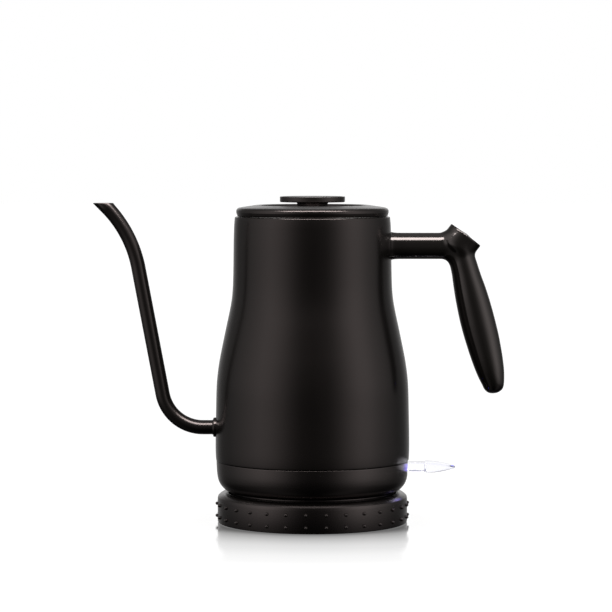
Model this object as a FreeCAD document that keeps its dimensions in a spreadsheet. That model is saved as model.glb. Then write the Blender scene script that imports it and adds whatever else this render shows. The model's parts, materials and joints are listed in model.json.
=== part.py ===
# Cordless gooseneck kettle on a round power base.
# Frame: origin at the centre of the base on the table plane, +Z up,
# +X towards the handle, -X towards the spout. Millimetres.
import FreeCAD, Part
import os
import math
import Sketcher
from FreeCAD import Vector as V, Placement, Rotation

doc = FreeCAD.newDocument("kettle")

# ---------------------------------------------------------------- dimensions
# alias: value, in millimetres, degrees or a count
DIMS = [
    # power base
    ("base_rad", 67.3), ("base_crest_z", 21.2), ("base_edge", 5.0), ("sleeve_wall", 2.4),
    ("sleeve_lip_rad", 59.6), ("foot_inner_rad", 50.0),
    ("nub_rad", 1.25), ("nub_centre_rad", 67.65), ("nub_low_z", 4.5), ("nub_high_z", 13.1),
    ("nub_columns", 30), ("nub_first_deg", -4.0),
    ("tray_rad", 64.7), ("tray_z", 2.1), ("tray_floor", 2.0),
    ("deck_z", 15.3), ("seat_lift", 1.0), ("deck_wall", 2.0), ("boss_rad", 17.0), ("boss_z", 24.3),
    ("pin_hole_rad", 3.3), ("slot_in_rad", 8.9), ("slot_out_rad", 11.1),
    ("gland_rad", 4.65), ("gland_bore_rad", 3.6), ("gland_z", 8.9),
    # kettle side of the connector
    ("inlet_recess_rad", 17.6), ("inlet_rad", 20.6), ("inlet_top_z", 28.0), ("inlet_low_z", 15.2),
    ("inlet_pin_rad", 2.9), ("ring_in_rad", 9.4), ("ring_out_rad", 10.6),
    # kettle body
    ("shell_wall", 0.9), ("seam_z", 43.3), ("rim_z", 215.6), ("mouth_rad", 49.6),
    ("cup_top_z", 42.9), ("cup_hole_rad", 21.2), ("cup_foot_rad", 58.0), ("cup_foot_z", 14.6),
    ("floor_z", 58.0), ("floor_sheet", 1.2), ("floor_rad", 67.7),
    ("plate_z", 56.0), ("plate_rad", 46.5), ("coil_rad", 42.0), ("coil_tube", 3.3), ("coil_z", 52.6),
    # spout
    ("spout_rad", 5.1), ("spout_bore", 4.2), ("spout_z", 66.1), ("spout_start", 64.5),
    ("spout_bend", 29.0), ("spout_lean", 10.65), ("spout_arc", 84.3), ("spout_top_lean", 46.8),
    ("mouth_z", 225.3), ("port_rad", 5.15), ("flange_rad", 6.9),
    # handle
    ("arm_z", 194.9), ("arm_half_z", 9.3), ("arm_half_y", 8.0), ("grip_half_y", 11.6),
    ("strip_z", 194.0), ("strip_thick", 2.5), ("strip_half_y", 5.0),
    # lid
    ("lid_rad", 53.9), ("crest_rad", 40.5), ("crest_z", 223.7), ("plug_rad", 48.6), ("plug_z", 203.0),
    ("knob_rad", 23.0), ("knob_top_z", 229.8), ("knob_low_z", 225.9), ("stem_rad", 10.8),
    # switch
    ("pivot_x", 60.0), ("pivot_z", 40.0), ("pin_rad", 1.25), ("pin_bore", 1.30),
    ("trip_x", 50.0),
    ("steam_x", 50.4), ("steam_rad", 3.2), ("steam_bore", 2.3),
]
D = dict(DIMS)
dims = doc.addObject("Spreadsheet::Sheet", "Dims")
for i, (alias, value) in enumerate(DIMS, start=1):
    dims.set("A%d" % i, alias)
    dims.set("B%d" % i, str(value))
    dims.setAlias("B%d" % i, alias)
doc.recompute()


class E:
    """A length that follows a sheet cell: scale * cell + offset."""

    def __init__(self, alias, off=0.0, k=1.0):
        self.alias, self.off, self.k = alias, off, k

    def val(self):
        return self.k * D[self.alias] + self.off

    def text(self):
        return "%g * Dims.%s + %g" % (self.k, self.alias, self.off)


def val(x):
    return x.val() if isinstance(x, E) else float(x)


def bind(obj, prop, x):
    setattr(obj, prop, val(x))
    if isinstance(x, E):
        obj.setExpression(prop, x.text())


nodes = []


def keep(obj, name):
    obj.Label = name
    nodes.append(obj)
    return obj


# ---------------------------------------------------------------- sketches
def new_body(name):
    return keep(doc.addObject("PartDesign::Body", name), name)


def origin_plane(body, role):
    return [f for f in body.Origin.OriginFeatures if f.Role == role][0]


def sketch(body, name, role="XZ_Plane", offset=None):
    s = body.newObject("Sketcher::SketchObject", name)
    s.AttachmentSupport = [(origin_plane(body, role), "")]
    s.MapMode = "FlatFace"
    if offset is not None:
        s.AttachmentOffset = offset
    return s


def pin_point(s, geo, pos, x, y, tag):
    """Holds one point of a sketch at (x, y), bound to the sheet where x or y is an E."""
    if abs(val(x)) < 1e-9:
        s.addConstraint(Sketcher.Constraint("PointOnObject", geo, pos, -2))
    else:
        c = s.addConstraint(Sketcher.Constraint("DistanceX", -1, 1, geo, pos, val(x)))
        if isinstance(x, E):
            s.renameConstraint(c, tag + "x")
            s.setExpression("Constraints." + tag + "x", x.text())
    if abs(val(y)) < 1e-9:
        s.addConstraint(Sketcher.Constraint("PointOnObject", geo, pos, -1))
    else:
        c = s.addConstraint(Sketcher.Constraint("DistanceY", -1, 1, geo, pos, val(y)))
        if isinstance(y, E):
            s.renameConstraint(c, tag + "y")
            s.setExpression("Constraints." + tag + "y", y.text())


def outline(s, pts, tag="p"):
    """A closed polygon through pts, every corner held."""
    n = len(pts)
    geo = []
    for i in range(n):
        a, b = pts[i], pts[(i + 1) % n]
        geo.append(
            s.addGeometry(
                Part.LineSegment(V(val(a[0]), val(a[1]), 0), V(val(b[0]), val(b[1]), 0)), False
            )
        )
    for i in range(n):
        s.addConstraint(Sketcher.Constraint("Coincident", geo[i], 2, geo[(i + 1) % n], 1))
        pin_point(s, geo[i], 1, pts[i][0], pts[i][1], "%s%d" % (tag, i))
    return geo


def circle(s, x, y, r, tag="c"):
    g = s.addGeometry(Part.Circle(V(val(x), val(y), 0), V(0, 0, 1), val(r)), False)
    pin_point(s, g, 3, x, y, tag)
    c = s.addConstraint(Sketcher.Constraint("Radius", g, val(r)))
    if isinstance(r, E):
        s.renameConstraint(c, tag + "r")
        s.setExpression("Constraints." + tag + "r", r.text())
    return g


def revolve(body, pts, name="turned", cut=False):
    """Turns a closed (radius, height) outline about the Z axis."""
    s = sketch(body, name + "_sketch")
    outline(s, pts)
    kind = "PartDesign::Groove" if cut else "PartDesign::Revolution"
    f = body.newObject(kind, name)
    f.Profile = s
    f.ReferenceAxis = (s, ["V_Axis"])
    f.Angle = 360
    return f


def turned(name, pts):
    b = new_body(name)
    revolve(b, pts)
    return b


def at_height(z):
    return Placement(V(0, 0, z), Rotation())


def pad_up(body, name, shapes, z0, length, cut=False):
    """Pads (or pockets) circles (x, y, r) upwards from height z0."""
    s = sketch(body, name + "_sketch", "XY_Plane", at_height(val(z0)))
    if isinstance(z0, E):
        s.setExpression("AttachmentOffset.Base.z", z0.text())
    for k, (x, y, r) in enumerate(shapes):
        circle(s, x, y, r, "c%d" % k)
    f = body.newObject("PartDesign::Pocket" if cut else "PartDesign::Pad", name)
    f.Profile = s
    bind(f, "Length", length)
    if cut:
        f.Reversed = True
    return f


# ---------------------------------------------------------------- primitives
count = [0]


def uid(stem):
    count[0] += 1
    return "%s_%d" % (stem, count[0])


DIRS = {
    "z": Rotation(),
    "x": Rotation(V(0, 1, 0), 90),
    "y": Rotation(V(1, 0, 0), -90),
    "-y": Rotation(V(1, 0, 0), 90),
    "-z": Rotation(V(1, 0, 0), 180),
}


def place(o, pos, rot):
    """Puts a primitive somewhere; a coordinate given as an E follows its cell."""
    o.Placement = Placement(V(*[val(p) for p in pos]), rot)
    for axis, p in zip("xyz", pos):
        if isinstance(p, E):
            o.setExpression("Placement.Base." + axis, p.text())
    return o


def cyl(r, h, pos, direction="z", rot=None):
    o = doc.addObject("Part::Cylinder", uid("cyl"))
    bind(o, "Radius", r)
    bind(o, "Height", h)
    return place(o, pos, rot if rot is not None else DIRS[direction])


def cone(r1, r2, h, pos, direction="z", rot=None):
    o = doc.addObject("Part::Cone", uid("cone"))
    bind(o, "Radius1", r1)
    bind(o, "Radius2", r2)
    bind(o, "Height", h)
    return place(o, pos, rot if rot is not None else DIRS[direction])


def ball(r, pos):
    o = doc.addObject("Part::Sphere", uid("ball"))
    bind(o, "Radius", r)
    return place(o, pos, Rotation())


def block(x0, x1, y0, y1, z0, z1):
    o = doc.addObject("Part::Box", uid("block"))
    lo = [x0, y0, z0]
    for prop, a, b in (("Length", x0, x1), ("Width", y0, y1), ("Height", z0, z1)):
        setattr(o, prop, val(b) - val(a))
        if isinstance(a, E) or isinstance(b, E):
            ta = a.text() if isinstance(a, E) else "%g" % a
            tb = b.text() if isinstance(b, E) else "%g" % b
            o.setExpression(prop, "(%s) - (%s)" % (tb, ta))
    return place(o, lo, Rotation())


def fuse(*parts):
    o = doc.addObject("Part::MultiFuse", uid("fuse"))
    o.Shapes = list(parts)
    return o


def cut(base, *tools):
    tool = tools[0] if len(tools) == 1 else fuse(*tools)
    o = doc.addObject("Part::Cut", uid("cut"))
    o.Base, o.Tool = base, tool
    return o


def common(a, b):
    o = doc.addObject("Part::Common", uid("common"))
    o.Base, o.Tool = a, b
    return o


def group(name, parts):
    o = doc.addObject("Part::Compound", name)
    o.Links = list(parts)
    return keep(o, name)


def screw(pos, direction, head_r, head_h, shank_r, length):
    """A pan-head screw: its head's underside is at pos and its shank runs along direction."""
    rot = DIRS[direction]
    d = rot.multVec(V(0, 0, 1))
    p = V(*[val(c) for c in pos])
    back = p - d * head_h
    head = cone(head_r * 0.8, head_r, head_h * 0.45, (back.x, back.y, back.z), rot=rot)
    mid = back + d * (head_h * 0.45)
    rim = cyl(head_r, head_h * 0.55, (mid.x, mid.y, mid.z), rot=rot)
    shank = cyl(shank_r, length, (p.x, p.y, p.z), rot=rot)
    tip = p + d * length
    point = cone(shank_r, shank_r * 0.45, shank_r * 1.2, (tip.x, tip.y, tip.z), rot=rot)
    bars = []
    for turn in (0, 90):
        o = doc.addObject("Part::Box", uid("recess"))
        o.Length, o.Width, o.Height = head_r * 1.2, head_r * 0.28, head_h * 0.6
        spin = rot.multiply(Rotation(V(0, 0, 1), turn))
        corner = back + spin.multVec(V(-head_r * 0.6, -head_r * 0.14, -0.01))
        o.Placement = Placement(corner, spin)
        bars.append(o)
    return cut(fuse(head, rim, shank, point), *bars)


def ring_points(n, radius, first_deg):
    return [
        (radius * math.cos(math.radians(first_deg + 360.0 * i / n)),
         radius * math.sin(math.radians(first_deg + 360.0 * i / n)))
        for i in range(n)
    ]


# ================================================================ power base
# Rubber sleeve: a C section that wraps the housing, from the table under the
# rim to the lip round the deck, with two rows of domed nubs.
b = new_body("base_sleeve")
R0 = "base_rad"
edge = []
for i in range(0, 7):  # rounded top edge, one corner every 15 degrees
    a = math.radians(15 * i)
    k = D["base_edge"]
    edge.append((E(R0, -k + k * math.cos(a)), E("base_crest_z", -k + k * math.sin(a))))
inner = []
for i in range(6, -1, -1):
    a = math.radians(15 * i)
    k = D["base_edge"]
    inner.append((E(R0, -k + (k - D["sleeve_wall"]) * math.cos(a)),
                  E("base_crest_z", -k + (k - 2.0) * math.sin(a))))
revolve(b, [(E("foot_inner_rad"), 0), (E(R0, -1.0), 0), (E(R0, -0.3), 0.3), (E(R0), 1.0)]
        + edge
        + [(E("sleeve_lip_rad", 0.7), E("base_crest_z")),
           (E("sleeve_lip_rad", 0.2), E("base_crest_z", -0.2)),
           (E("sleeve_lip_rad"), E("base_crest_z", -0.7)),
           (E("sleeve_lip_rad"), E("base_crest_z", -2.0))]
        + inner
        + [(E(R0, -D["sleeve_wall"]), E("tray_z", -0.1)), (E("foot_inner_rad"), E("tray_z", -0.1))])
pair = []
first = math.radians(D["nub_first_deg"])
for tag, z in (("low", "nub_low_z"), ("high", "nub_high_z")):
    n = b.newObject("PartDesign::AdditiveSphere", "nub_" + tag)
    n.Radius = D["nub_rad"]
    n.setExpression("Radius", "Dims.nub_rad")
    r = D["nub_centre_rad"]
    n.Placement = Placement(V(r * math.sin(first), -r * math.cos(first), D[z]), Rotation())
    n.setExpression("Placement.Base.x", "Dims.nub_centre_rad * sin(Dims.nub_first_deg * 1 deg)")
    n.setExpression("Placement.Base.y", "-Dims.nub_centre_rad * cos(Dims.nub_first_deg * 1 deg)")
    n.setExpression("Placement.Base.z", "Dims." + z)
    pair.append(n)
doc.recompute()
pat = b.newObject("PartDesign::PolarPattern", "nub_ring")
pat.Originals = pair
pat.Axis = (origin_plane(b, "Z_Axis"), [""])
pat.Angle = 360
pat.Occurrences = int(D["nub_columns"])
pat.setExpression("Occurrences", "Dims.nub_columns")
b.Tip = pat
doc.recompute()
# rear opening for the cord gland
s = sketch(b, "outlet_sketch", "XZ_Plane", Placement(V(0, 0, -60), Rotation()))
circle(s, 0, E("gland_z"), E("gland_rad"))
f = b.newObject("PartDesign::Pocket", "outlet")
f.Profile = s
f.Length = 12
before = b.Shape.Volume
doc.recompute()
if b.Shape.Volume > before - 1:
    f.Reversed = True
    doc.recompute()
assert b.Shape.Volume < before - 1

# Lower tray with its screw holes and the rear notch for the gland.
b = new_body("base_tray")
revolve(b, [(0, E("tray_z")), (E("tray_rad"), E("tray_z")), (E("tray_rad"), 11.1),
            (E("tray_rad", -1.9), 11.1), (E("tray_rad", -1.9), E("tray_z", 2.0)),
            (24.5, E("tray_z", 2.0)), (24.5, E("tray_z", 3.0)), (0, E("tray_z", 3.0))])
pad_up(b, "holes", [(x, y, 1.7) for x, y in ring_points(4, 42.0, 45)]
       + [(x, y, 1.38) for x, y in ring_points(2, 20.6, 0)]
       + [(-9.0, 47.0, 1.38), (9.0, 47.0, 1.38)], 0, 6, cut=True)
doc.recompute()
s = sketch(b, "outlet_sketch", "XZ_Plane", Placement(V(0, 0, -60), Rotation()))
outline(s, [(-5.25, 4.2), (5.25, 4.2), (5.25, 12.5), (-5.25, 12.5)])
f = b.newObject("PartDesign::Pocket", "outlet")
f.Profile = s
f.Length = 12
before = b.Shape.Volume
doc.recompute()
if b.Shape.Volume > before - 1:
    f.Reversed = True
    doc.recompute()
assert b.Shape.Volume < before - 1

# Deck that the kettle stands in, with posts for the four screws.
b = new_body("base_deck")
revolve(b, [(E("boss_rad", 0.2), E("deck_z", -2.0)), (E("tray_rad", -4.1), E("deck_z", -2.0)),
            (E("tray_rad", -4.1), 5.0), (E("tray_rad", -2.2), 5.0), (E("tray_rad", -2.2), 11.3),
            (E("tray_rad"), 11.3), (E("tray_rad"), E("base_crest_z", -5.0)),
            (61.9, E("base_crest_z", -2.2)), (E("sleeve_lip_rad", 0.1), E("base_crest_z", -2.2)),
            (E("sleeve_lip_rad", 0.1), E("deck_z")), (E("boss_rad", 0.2), E("deck_z"))])
doc.recompute()
pad_up(b, "posts", [(x, y, 3.2) for x, y in ring_points(4, 42.0, 45)], 4.2, 9.5)
doc.recompute()
pad_up(b, "pilots", [(x, y, 1.38) for x, y in ring_points(4, 42.0, 45)], 4.0, 8.0, cut=True)
doc.recompute()
s = sketch(b, "outlet_sketch", "XZ_Plane", Placement(V(0, 0, -57), Rotation()))
outline(s, [(-5.4, 2.0), (5.4, 2.0), (5.4, 13.6), (-5.4, 13.6)])
f = b.newObject("PartDesign::Pocket", "outlet")
f.Profile = s
f.Length = 12
before = b.Shape.Volume
doc.recompute()
if b.Shape.Volume > before - 1:
    f.Reversed = True
    doc.recompute()
assert b.Shape.Volume < before - 1

# Round connector: a boss with a pin hole and a ring slot, on a screwed flange.
b = new_body("base_connector")
revolve(b, [(0, 4.1), (24.0, 4.1), (24.0, 7.2), (E("boss_rad"), 7.2),
            (E("boss_rad"), E("boss_z", -1.2)), (E("boss_rad", -0.35), E("boss_z", -0.35)),
            (E("boss_rad", -1.2), E("boss_z")),
            (E("slot_out_rad"), E("boss_z")), (E("slot_out_rad"), 13.0),
            (E("slot_in_rad"), 13.0), (E("slot_in_rad"), E("boss_z")),
            (E("pin_hole_rad", 1.2), E("boss_z")), (E("pin_hole_rad"), E("boss_z", -1.2)),
            (E("pin_hole_rad"), 9.0), (0, 9.0)])
doc.recompute()
pad_up(b, "holes", [(x, y, 1.6) for x, y in ring_points(2, 20.6, 0)], 3.5, 4.5, cut=True)

ring = cut(cyl(E("slot_out_rad", -0.1), 0.8, (0, 0, 13.0)),
           cyl(E("slot_in_rad", 0.1), 2.0, (0, 0, 12.5)))
button = cyl(E("pin_hole_rad", -0.1), 0.7, (0, 0, 9.0))
group("connector_contacts", [ring, button])
group("connector_screws", [screw((x, y, 7.2), "-z", 2.6, 1.6, 1.3, 3.0)
                           for x, y in ring_points(2, 20.6, 0)])
group("base_screws", [screw((x, y, E("tray_z")), "z", 2.9, 1.6, 1.3, 8.0)
                      for x, y in ring_points(4, 42.0, 45)])

# Cord gland: a flanged rubber bush in the rear wall, with a clear bore.
gland = cut(
    fuse(cyl(E("gland_rad", -0.05), 9.4, (0, 58.6, E("gland_z")), "y"),
         common(cyl(5.3, 2.0, (0, 60.1, E("gland_z")), "y"),
                block(-5.3, 5.3, 60.0, 62.5, 4.3, 13.4))),
    cyl(E("gland_bore_rad"), 14.0, (0, 56.0, E("gland_z")), "y"))
keep(gland, "cord_gland")
bar = cut(fuse(block(-12.5, 12.5, 44.5, 49.5, 9.4, 11.4),
               cyl(2.7, 5.2, (-9.0, 47.0, 4.2)), cyl(2.7, 5.2, (9.0, 47.0, 4.2))),
          cyl(1.6, 9.0, (-9.0, 47.0, 3.5)), cyl(1.6, 9.0, (9.0, 47.0, 3.5)))
keep(bar, "cord_clamp")
group("clamp_screws", [screw((x, 47.0, 11.4), "-z", 2.3, 0.8, 1.3, 7.2) for x in (-9.0, 9.0)])

# ================================================================ inlet of the kettle
# All three pieces are turned about the vertical axis, so the kettle seats at any heading.
b = turned("inlet_socket", [
    (E("inlet_pin_rad"), E("boss_z", 0.6)), (E("inlet_recess_rad"), E("boss_z", 0.6)),
    (E("inlet_recess_rad"), E("inlet_low_z", 0.6)), (E("inlet_recess_rad", 0.6), E("inlet_low_z")),
    (E("inlet_rad"), E("inlet_low_z")), (E("inlet_rad"), E("inlet_top_z", -0.8)),
    (E("inlet_rad", -0.8), E("inlet_top_z")), (E("inlet_pin_rad"), E("inlet_top_z"))])
doc.recompute()
# ring seat
revolve(b, [(E("ring_in_rad"), 24.0), (E("ring_out_rad"), 24.0), (E("ring_out_rad"), 27.0),
            (E("ring_in_rad"), 27.0)], "ring_seat", cut=True)
turned("inlet_pin", [(0, 12.6), (1.6, 12.6), (2.4, 13.0), (E("inlet_pin_rad"), 13.8),
                     (E("inlet_pin_rad"), E("inlet_top_z")), (0, E("inlet_top_z"))])
turned("inlet_ring", [(E("ring_in_rad", 0.3), 15.6), (E("ring_out_rad", -0.3), 15.6),
                      (E("ring_out_rad"), 16.2), (E("ring_out_rad"), 27.0),
                      (E("ring_in_rad"), 27.0), (E("ring_in_rad"), 16.2)])

# ================================================================ kettle body
OUT = [  # outside of the steel body, from the seam up: (height, radius)
    (44.3, 68.4), (47.0, 68.75), (51.3, 68.8), (64.0, 68.68), (72.6, 68.46), (85.3, 68.26),
    (93.9, 68.12), (98.1, 67.84), (102.4, 67.5), (106.6, 66.92), (110.9, 66.33), (115.2, 65.61),
    (123.7, 63.91), (132.2, 62.2), (140.7, 60.4), (149.2, 58.5), (153.5, 57.7),
    (157.8, 56.97), (166.3, 56.3), (174.8, 56.04), (187.6, 55.85), (200.4, 55.66),
    (210.3, 55.35), (214.2, 54.95)]
wall = D["shell_wall"]
pts = [(66.2, E("seam_z", 0.1)), (66.9, E("seam_z")), (67.4, E("seam_z", 0.3))]
pts += [(r, z) for z, r in OUT]
pts += [(54.4, E("rim_z", -0.45)), (53.6, E("rim_z")), (E("mouth_rad", 0.6), E("rim_z")),
        (E("mouth_rad"), E("rim_z", -0.6)), (E("mouth_rad"), E("rim_z", -3.6)),
        (E("mouth_rad", 0.8), E("rim_z", -3.6)), (E("mouth_rad", 0.8), E("rim_z", -0.9)),
        (53.2, E("rim_z", -0.9))]
pts += [(r - wall, z) for z, r in reversed(OUT)]
pts += [(66.2, E("seam_z", 0.8))]
b = turned("body_shell", pts)
doc.recompute()
s = sketch(b, "port_sketch", "YZ_Plane", Placement(V(0, 0, -75), Rotation()))
circle(s, 0, E("spout_z"), E("port_rad"))
f = b.newObject("PartDesign::Pocket", "spout_port")
f.Profile = s
f.Length = 20
before = b.Shape.Volume
doc.recompute()
if b.Shape.Volume > before - 1:
    f.Reversed = True
    doc.recompute()
assert b.Shape.Volume < before - 1

# Heater floor: a dished disc with three studs for the cup and a hole for the steam tube.
studs = ring_points(3, 50.2, 90)
b = turned("kettle_floor", [(0, E("floor_z")), (E("floor_rad", -1.2), E("floor_z")),
                            (E("floor_rad"), E("floor_z", -1.0)), (E("floor_rad"), E("floor_z", -5.0)),
                            (E("floor_rad", -1.2), E("floor_z", -5.0)),
                            (E("floor_rad", -1.2), E("floor_z", -1.2)),
                            (E("floor_rad", -2.4), E("floor_z", -1.3)),
                            (E("floor_rad", -3.4), E("floor_z", -1.2)), (0, E("floor_z", -1.2))]
           )
doc.recompute()
pad_up(b, "studs", [(x, y, 2.8) for x, y in studs], 22.3, 35.0)
doc.recompute()
pad_up(b, "pilots", [(x, y, 1.38) for x, y in studs], 22.0, 13.0, cut=True)
doc.recompute()
pad_up(b, "steam_hole", [(E("steam_x"), 0, 4.6)], 50.0, 12.0, cut=True)

# Heat spreader under the floor.
b = turned("diffuser_plate", [(0, 54.7), (E("plate_rad", -0.4), 54.7), (E("plate_rad"), 55.1),
                              (E("plate_rad"), 56.7), (0, 56.7)])
doc.recompute()
pad_up(b, "pilots", [(0, 24.0, 1.38), (0, -24.0, 1.38)], 54.0, 2.2, cut=True)

# Sheathed heating element: an open ring with a cold pin at each end.
coil = doc.addObject("Part::Torus", "coil")
bind(coil, "Radius1", E("coil_rad"))
bind(coil, "Radius2", E("coil_tube"))
coil.Angle3 = 310
place(coil, (0, 0, 51.3), Rotation(V(0, 0, 1), 25))
ends = []
for a in (25, -25):
    x, y = D["coil_rad"] * math.cos(math.radians(a)), D["coil_rad"] * math.sin(math.radians(a))
    ends += [ball(E("coil_tube"), (x, y, 51.3)), cyl(1.6, 8.5, (x, y, 40.5))]
keep(fuse(coil, *ends), "heating_element")

# Control: a moulded block over the inlet with an arm towards the switch.
control = cut(
    fuse(cyl(20.0, 15.0, (0, 0, 28.6)), block(0, 43.0, -10.5, 10.5, 33.5, 46.5),
         block(-4.0, 4.0, -28.0, 28.0, 41.6, 43.6),
         cyl(3.4, 11.0, (0, 24.0, 43.6)), cyl(3.4, 11.0, (0, -24.0, 43.6)),
         cyl(4.0, 11.0, (-12.0, 10.0, 43.0)), cyl(4.0, 11.0, (-12.0, -10.0, 43.0))),
    cyl(1.6, 16.0, (0, 24.0, 40.5)), cyl(1.6, 16.0, (0, -24.0, 40.5)),
    block(30.0, 40.0, -7.0, 7.0, 38.0, 47.0))
keep(control, "control_unit")
group("dry_boil_discs", [cyl(6.0, 0.6, (-12.0, y, 54.0)) for y in (10.0, -10.0)])
keep(cut(cyl(5.0, 0.5, (43.0, 0, 40.0), "x"), block(42.0, 45.0, -0.5, 0.5, 39.0, 42.0)), "steam_disc")
group("contact_leaves", [fuse(block(14.0, 29.0, y - 1.5, y + 1.5, 46.5, 46.9),
                              cyl(1.4, 0.8, (27.0, y, 46.9))) for y in (-5.0, 5.0)])
group("control_screws", [screw((0, y, 41.6), "z", 2.8, 1.8, 1.3, 12.8) for y in (24.0, -24.0)])

# Cup under the seam: it carries the foot ring, the inlet hole, the switch window and two hinge plates.
b = turned("base_cup", [
    (E("cup_hole_rad"), 20.2), (53.9, 20.2), (53.9, E("cup_foot_z")), (57.2, E("cup_foot_z")),
    (E("cup_foot_rad"), E("cup_foot_z", 0.8)), (E("cup_foot_rad"), 21.8), (60.9, 21.8),
    (61.4, 22.1), (63.1, 23.8), (64.75, 25.7), (65.8, 27.7), (66.5, 30.0), (66.9, 32.2),
    (67.25, 34.6), (67.5, 38.5), (67.6, E("cup_top_z", -0.3)), (67.4, E("cup_top_z")),
    (65.3, E("cup_top_z")), (65.2, 38.5), (65.0, 34.6), (64.4, 30.7), (63.2, 27.6),
    (60.5, 24.4), (56.0, 22.2), (E("cup_hole_rad"), 22.2)])
doc.recompute()
pad_up(b, "screw_holes", [(x, y, 1.7) for x, y in studs], 19.0, 5.0, cut=True)
doc.recompute()
s = sketch(b, "plate_sketch", "XZ_Plane", Placement(V(0, 0, -15.4), Rotation()))
outline(s, [(46.0, 21.8), (55.5, 21.8), (62.6, 31.5), (62.6, 43.0), (46.0, 43.0)])
f = b.newObject("PartDesign::Pad", "plate_a")
f.Profile = s
f.Length = 2.0
doc.recompute()
s = sketch(b, "plate_sketch_b", "XZ_Plane", Placement(V(0, 0, 13.4), Rotation()))
outline(s, [(46.0, 21.8), (55.5, 21.8), (62.6, 31.5), (62.6, 43.0), (46.0, 43.0)])
f = b.newObject("PartDesign::Pad", "plate_b")
f.Profile = s
f.Length = 2.0
doc.recompute()
s = sketch(b, "pin_sketch", "XZ_Plane", Placement(V(0, 0, -20), Rotation()))
circle(s, E("pivot_x"), E("pivot_z"), E("pin_rad", 0.02), "a")
circle(s, E("trip_x"), E("pivot_z"), E("pin_rad", 0.02), "b")
f = b.newObject("PartDesign::Pocket", "pin_holes")
f.Profile = s
f.Length = 40
f.Reversed = True
before = b.Shape.Volume
doc.recompute()
if b.Shape.Volume > before - 1:
    f.Reversed = False
    doc.recompute()
assert b.Shape.Volume < before - 1
s = sketch(b, "window_sketch", "YZ_Plane", Placement(V(0, 0, 63.2), Rotation()))
outline(s, [(-9.0, 33.0), (9.0, 33.0), (9.0, 44.0), (-9.0, 44.0)])
f = b.newObject("PartDesign::Pocket", "switch_window")
f.Profile = s
f.Length = 8
f.Reversed = True
before = b.Shape.Volume
doc.recompute()
if b.Shape.Volume > before - 1:
    f.Reversed = False
    doc.recompute()
assert b.Shape.Volume < before - 1

group("cup_screws", [screw((x, y, 20.2), "z", 2.6, 1.6, 1.3, 11.0) for x, y in studs])
group("hinge_pins", [cyl(E("pin_rad"), 30.6, (E(a), -15.3, E("pivot_z")), "y")
                     for a in ("pivot_x", "trip_x")])
led = fuse(cyl(2.5, 5.2, (55.4, 0, 30.2), "x"), ball(2.5, (60.6, 0, 30.2)))
keep(led, "indicator_led")
keep(cut(block(54.0, 55.4, -8.0, 8.0, 22.3, 35.5), cyl(1.2, 3.0, (53.0, 5.5, 32.0), "x"),
         cyl(1.2, 3.0, (53.0, -5.5, 32.0), "x")), "led_board")

# Steam tube from the top of the chamber down to the control, and its grommet in the floor.
tube = cut(cyl(E("steam_rad"), 149.0, (E("steam_x"), 0, 47.6)),
           cyl(E("steam_bore"), 160.0, (E("steam_x"), 0, 45.0)))
keep(tube, "steam_tube")
seal = cut(fuse(cyl(4.6, 2.8, (E("steam_x"), 0, 56.8)), cyl(6.2, 1.4, (E("steam_x"), 0, 58.0))),
           cyl(E("steam_rad"), 10.0, (E("steam_x"), 0, 52.0)))
keep(seal, "steam_tube_seal")

# ================================================================ spout
# Centreline: level out of the body, a tight bend, a straight leaning run, a wide arc outwards.
b = new_body("spout_tube")
lean = math.radians(D["spout_lean"])
top = math.radians(D["spout_top_lean"])
rb, ra = D["spout_bend"], D["spout_arc"]
z0 = D["spout_z"]
# wide arc starts on the leaning line at this height
arc_z = 179.4
arc_x = -123.13
# the tight bend ends on the same line
turn = math.pi / 2 - lean
bend_dz = rb * (1 - math.cos(turn))
bend_dx = rb * math.sin(turn)
bend_end = (arc_x + (arc_z - (z0 + bend_dz)) * math.tan(lean), z0 + bend_dz)
bend_start_x = bend_end[0] + bend_dx
s = sketch(b, "route")
p0 = (-D["spout_start"], z0)
p1 = (bend_start_x, z0)
c1 = (bend_start_x, z0 + rb)
p2 = bend_end
p3 = (arc_x, arc_z)
c2 = (arc_x - ra * math.cos(lean), arc_z - ra * math.sin(lean))


def on2(a):
    return (c2[0] + ra * math.cos(a), c2[1] + ra * math.sin(a))


p4 = on2(top + math.radians(3.2))
g1 = s.addGeometry(Part.LineSegment(V(p0[0], p0[1], 0), V(p1[0], p1[1], 0)), False)
mid = math.radians(-90) - turn / 2
g2 = s.addGeometry(Part.Arc(V(p1[0], p1[1], 0),
                            V(c1[0] + rb * math.cos(mid), c1[1] + rb * math.sin(mid), 0),
                            V(p2[0], p2[1], 0)), False)
g3 = s.addGeometry(Part.LineSegment(V(p2[0], p2[1], 0), V(p3[0], p3[1], 0)), False)
m = on2((lean + top) / 2)
g4 = s.addGeometry(Part.Arc(V(p3[0], p3[1], 0), V(m[0], m[1], 0), V(p4[0], p4[1], 0)), False)
s2 = sketch(b, "section", "YZ_Plane", Placement(V(0, 0, -D["spout_start"]), Rotation()))
circle(s2, 0, E("spout_z"), E("spout_rad"), "o")
circle(s2, 0, E("spout_z"), E("spout_bore"), "i")
doc.recompute()
f = b.newObject("PartDesign::AdditivePipe", "tube")
f.Profile = s2
f.Spine = (s, ["Edge1", "Edge2", "Edge3", "Edge4"])
doc.recompute()
length = (p0[0] - p1[0]) + rb * turn + math.dist(p2, p3) + ra * (top + math.radians(3.2) - lean)
area = math.pi * (D["spout_rad"] ** 2 - D["spout_bore"] ** 2)
print("spout length", round(length, 1), "volume", round(b.Shape.Volume, 1), "expected", round(area * length, 1))
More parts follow.
